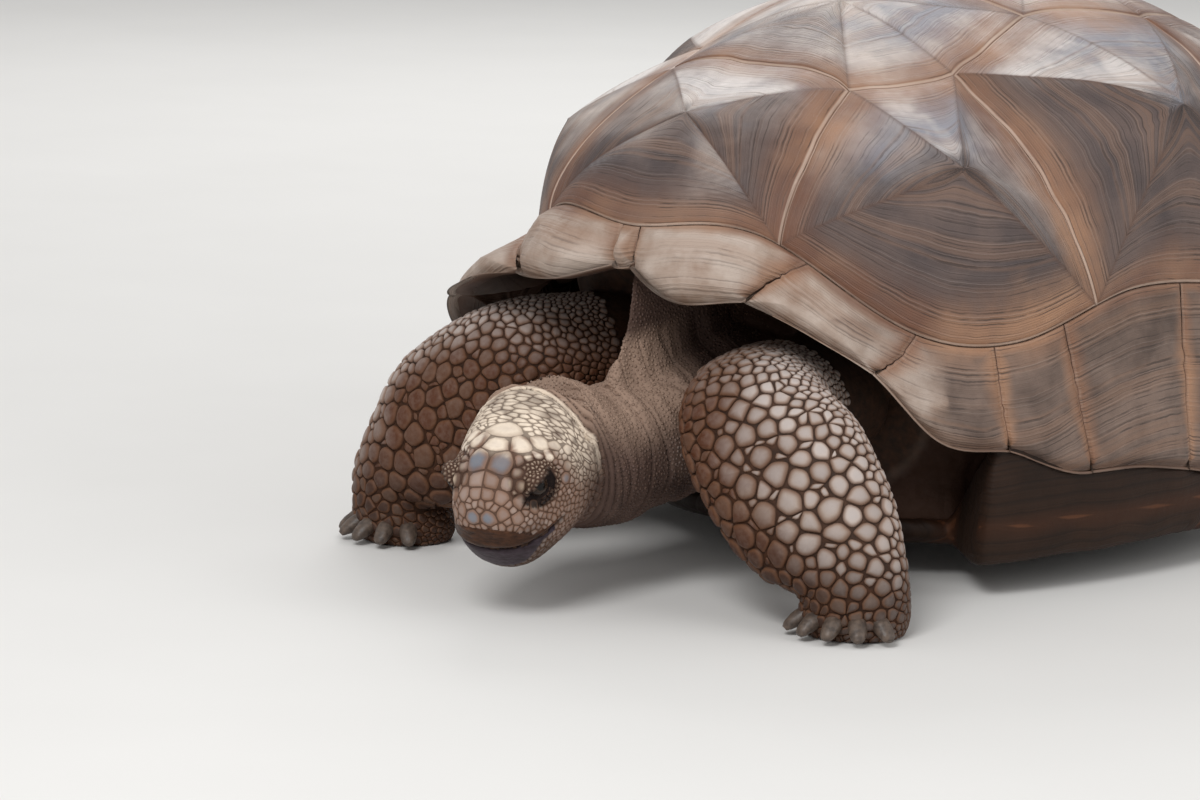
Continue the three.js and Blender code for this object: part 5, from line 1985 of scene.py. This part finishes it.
def add_beak(skin):
    """Both horny sheaths, as the part of the skin that they cover, lifted off it and given a wall."""
    points, normals = points_of(skin.data), normals_of(skin.data)
    for name, inside in zip(BEAK_SHADES, beak_reach(points)):
        horn = horn_of_the_beak(name)
        work = bmesh.new()
        work.from_mesh(skin.data)
        work.verts.index_update()
        outside = inside < BEAK["margin"]
        doomed = [face for face in work.faces if any(outside[v.index] for v in face.verts)]
        rise = BEAK["lift"] * ease(BEAK["margin"], 2.5, inside)
        for vertex, at in zip(work.verts, placed(points + normals * rise[:, None])):
            vertex.co = at
        bmesh.ops.delete(work, geom=doomed, context="FACES")
        mesh = bpy.data.meshes.new("horn_" + name)
        work.to_mesh(mesh)
        work.free()
        mesh.shade_smooth()
        piece = linked("horn_" + name, mesh)
        wall = piece.modifiers.new("wall", "SOLIDIFY")
        wall.thickness = BEAK["under"] * MM
        wall.offset = -1
        baked(piece)
        dress(piece, horn, "beak", name)


def claw_body(root, way, width, long, seed):
    """A blunt claw that bends down towards its tip."""
    stations = [
        Station(root - way * 10 + UP * 3, width, width * 0.95, UP),
        Station(root + way * 6 + UP * 2, width * 1.02, width * 0.95, UP),
        Station(root + way * long * 0.62 - UP * 3, width * 0.96, width * 0.8, UP),
        Station(root + way * long * 0.95 - UP * 8.5, width * 0.74, width * 0.54, UP),
        Station(root + way * long * 1.08 - UP * 11.5, width * 0.42, width * 0.28, UP),
    ]
    points, faces = closed_body(loft_rings(stations, sides=24, per_span=6))
    points = points + 0.35 * wander(points, 3.0, seed)[:, None] * UP
    return above_floor(points, LOWEST["claws"]), faces


def add_claws():
    paint = Paint("claw_horn")
    fine = paint.noise(150.0, 4.0)
    colour = paint.ramp(fine, (0.3, shade(56, 46, 40)), (0.75, shade(104, 88, 76)))
    horn = paint.finish(colour, 0.45, paint.bump(fine, 0.0008))
    for name in LEGS:
        roots = enumerate(claw_roots(name))
        bodies = [claw_body(*root, CLAWS[name]["length"], number) for number, root in roots]
        piece = make_object("claws_" + name, *joined(bodies))
        turn_out(piece)
        dress(piece, horn, "skin")


# Bridge and blend are degrees round the shell, the rest are lengths.
PLASTRON = {"bottom": 38.0, "top": 68.0, "bridge": (54.0, 110.0), "blend": 4.0, "under_rim": 7.0}
LOBES = around({0: 0.66, 30: 0.7, 54: 0.8, 90: 0.86, 110: 0.8, 126: 0.66, 150: 0.68, 180: 0.7})
PLASTRON_SEAMS = (-235, -150, -75, 130, 215)  # across the lower shell


def horn_of_the_plastron():
    paint = Paint("plastron_horn")
    margin = paint.attribute("seam")
    broad, fine = paint.noise(8.0), paint.noise(70.0, 4.0)
    line = paint.streaks(paint.attribute("growth") + broad * 12, 0.16, 3.0)
    # Very dark: the lower shell's own dark brown with painted shade, as it lies under the shell.
    colour = paint.ramp(broad, (0.3, shade(27, 16, 9)), (0.7, shade(50, 32, 21)))
    colour = paint.blend(paint.between(line, 0.55, 0.35) * 0.5, colour, shade(24, 15, 10))
    colour = paint.blend(paint.between(margin, 18, 2) * 0.3, colour, shade(80, 46, 28))
    colour = paint.blend(paint.between(margin, 3.0, 1.0) * 0.6, colour, shade(100, 62, 40))
    return paint.finish(colour, 0.6, paint.bump(line + fine * 0.5, 0.0014), specular=0.2)


def plastron_rings(angle):
    bottom, top = PLASTRON["bottom"], PLASTRON["top"]
    degrees = np.degrees(np.abs(angle))
    (fore, rear), blend = PLASTRON["bridge"], PLASTRON["blend"]
    bridge = (ease(fore - blend, fore, degrees) - ease(rear, rear + blend, degrees))[:, None]

    def flat(share, height):
        return level(angle, share, height)

    def under_rim(depth):
        rim = shell_point(map_point(np.degrees(angle), 2.0))
        return towards_heart(rim, depth) - UP * PLASTRON["under_rim"]

    lobe = LOBES(angle)
    middle, edge = flat(0.0, bottom), flat(0.93 * lobe, bottom)
    return [mix(middle, edge, share) for share in (0.04, 0.2, 0.4, 0.6, 0.8)] + [
        mix(edge, flat(0.93, bottom), bridge),
        mix(flat(lobe, bottom + 11), flat(1.03, bottom + 14), bridge),
        mix(flat(lobe, top - 6), under_rim(6), bridge),
        mix(flat(0.97 * lobe, top), under_rim(22), bridge),
        mix(flat(0.9 * lobe, top), flat(0.92, top + 14), bridge),
        mix(flat(0.85 * lobe, top), flat(0.86, top), bridge),
    ]


def add_plastron():
    angle = np.linspace(-math.pi, math.pi, 420, endpoint=False)
    coarse = np.array(plastron_rings(angle))
    profile = curve_through(range(len(coarse)), coarse.reshape(len(coarse), -1), free_ends=True)
    steps = np.linspace(0, len(coarse) - 1, (len(coarse) - 1) * 9 + 1)
    rings = [profile(step).reshape(-1, 3) for step in steps]
    points, faces = closed_body(rings)
    place_x, place_y, place_z = points.T
    seam = np.min([np.abs(place_y - y - 12 * np.abs(place_x) / 200) for y in PLASTRON_SEAMS], axis=0)
    seam = np.minimum(seam, np.abs(place_x + 3 * wander(points, 40, 51)))
    wall = np.abs(place_x) > 300
    level_seam = np.abs(place_z - 82 - 5 * wander(points, 60, 54))
    on_wall = np.minimum(level_seam, np.abs(place_y - 30 - 0.3 * place_z))
    seam = np.where(wall, on_wall, seam)
    piece = make_object("lower_shell", points, faces, {"seam": seam})
    turn_out(piece)
    waver = seam + 4 * wander(points, 50, 52)
    waves = np.abs((waver / 12) % 1 - 0.5) * 1.8
    rise = waves - 3.0 * ease(6, 0, seam) + 2.2 * wander(points, 55, 53)
    move_points(piece.data, points + normals_of(piece.data) * rise[:, None])
    set_attribute(piece.data, "growth", waver)
    dress(piece, horn_of_the_plastron(), "plastron", "plastron")


# ---------------------------------------------------------------- studio

CAMERA = {
    "at": (3.3512, -4.4529, 1.1674),
    "turn": 40.0,
    "dip": 10.4,
    "roll": 1.2,
    "lens": 148.5,
    "sensor": 36.0,
}
LAMPS = (  # name, place, size and power
    ("key", (1.5, -4.5, 4.5), 2.2, 190),
    ("fill", (4.5, 0.5, 2.5), 3.0, 45),
    ("back", (-3.0, 3.5, 3.5), 2.5, 80),
)
LAMPS_AIM = Vector((0, 0, 0.25))
WORLD_STRENGTH = 0.55


def add_camera():
    data = bpy.data.cameras.new("camera")
    data.lens, data.sensor_width = CAMERA["lens"], CAMERA["sensor"]
    data.clip_end = 100
    camera = linked("camera", data)
    turn, dip, roll = (math.radians(CAMERA[key]) for key in ("turn", "dip", "roll"))
    view = Vector((-math.sin(turn) * math.cos(dip), math.cos(turn) * math.cos(dip), -math.sin(dip)))
    sideways = Vector((math.cos(turn), math.sin(turn), 0))
    above = sideways.cross(view)
    right = math.cos(roll) * sideways + math.sin(roll) * above
    top = -math.sin(roll) * sideways + math.cos(roll) * above
    turned = Matrix((right, top, -view)).transposed().to_4x4()
    camera.matrix_world = Matrix.Translation(CAMERA["at"]) @ turned
    bpy.context.scene.camera = camera


def add_floor():
    paint = Paint("studio_floor")
    grain = paint.noise(3.0, 2.0)
    matt = paint.finish(paint.blend(grain, (0.76, 0.75, 0.73), (0.8, 0.79, 0.77)), 0.9)
    bpy.ops.mesh.primitive_plane_add(size=30)
    floor = bpy.context.object
    floor.name = "floor"
    floor.data.materials.append(matt)


def add_lamps():
    for name, at, size, power in LAMPS:
        lamp = bpy.data.lights.new(name, "AREA")
        lamp.size, lamp.energy = size, power
        light = linked(name, lamp)
        light.location = at
        light.rotation_euler = (LAMPS_AIM - Vector(at)).to_track_quat("-Z", "Y").to_euler()


def add_studio():
    scene = bpy.context.scene
    scene.view_settings.view_transform = "Standard"
    add_camera()
    add_floor()
    world = bpy.data.worlds.new("studio")
    scene.world = world
    world.use_nodes = True
    background = world.node_tree.nodes["Background"].inputs
    background["Color"].default_value = (1.0, 1.0, 1.0, 1)
    background["Strength"].default_value = WORLD_STRENGTH
    add_lamps()


add_studio()
add_plates()
skin = add_skin(hide_of_the_body())
add_eyes()
add_beak(skin)
add_claws()
add_plastron()
ground = Ground(skin.data)
scale_material = scale_horn()
rng = np.random.default_rng(SEED)
for leg in LEGS:
    add_leg_scales(leg, ground, scale_material, rng)
add_head_scales(ground, scale_material, rng)
add_tail_scales(ground, scale_material, rng)
neck_map = tube_map(LINES["neck"], DOWN)
add_grains("grains_neck", ground, neck_weight(ground.points), neck_map, NECK_GRAINS, scale_material)
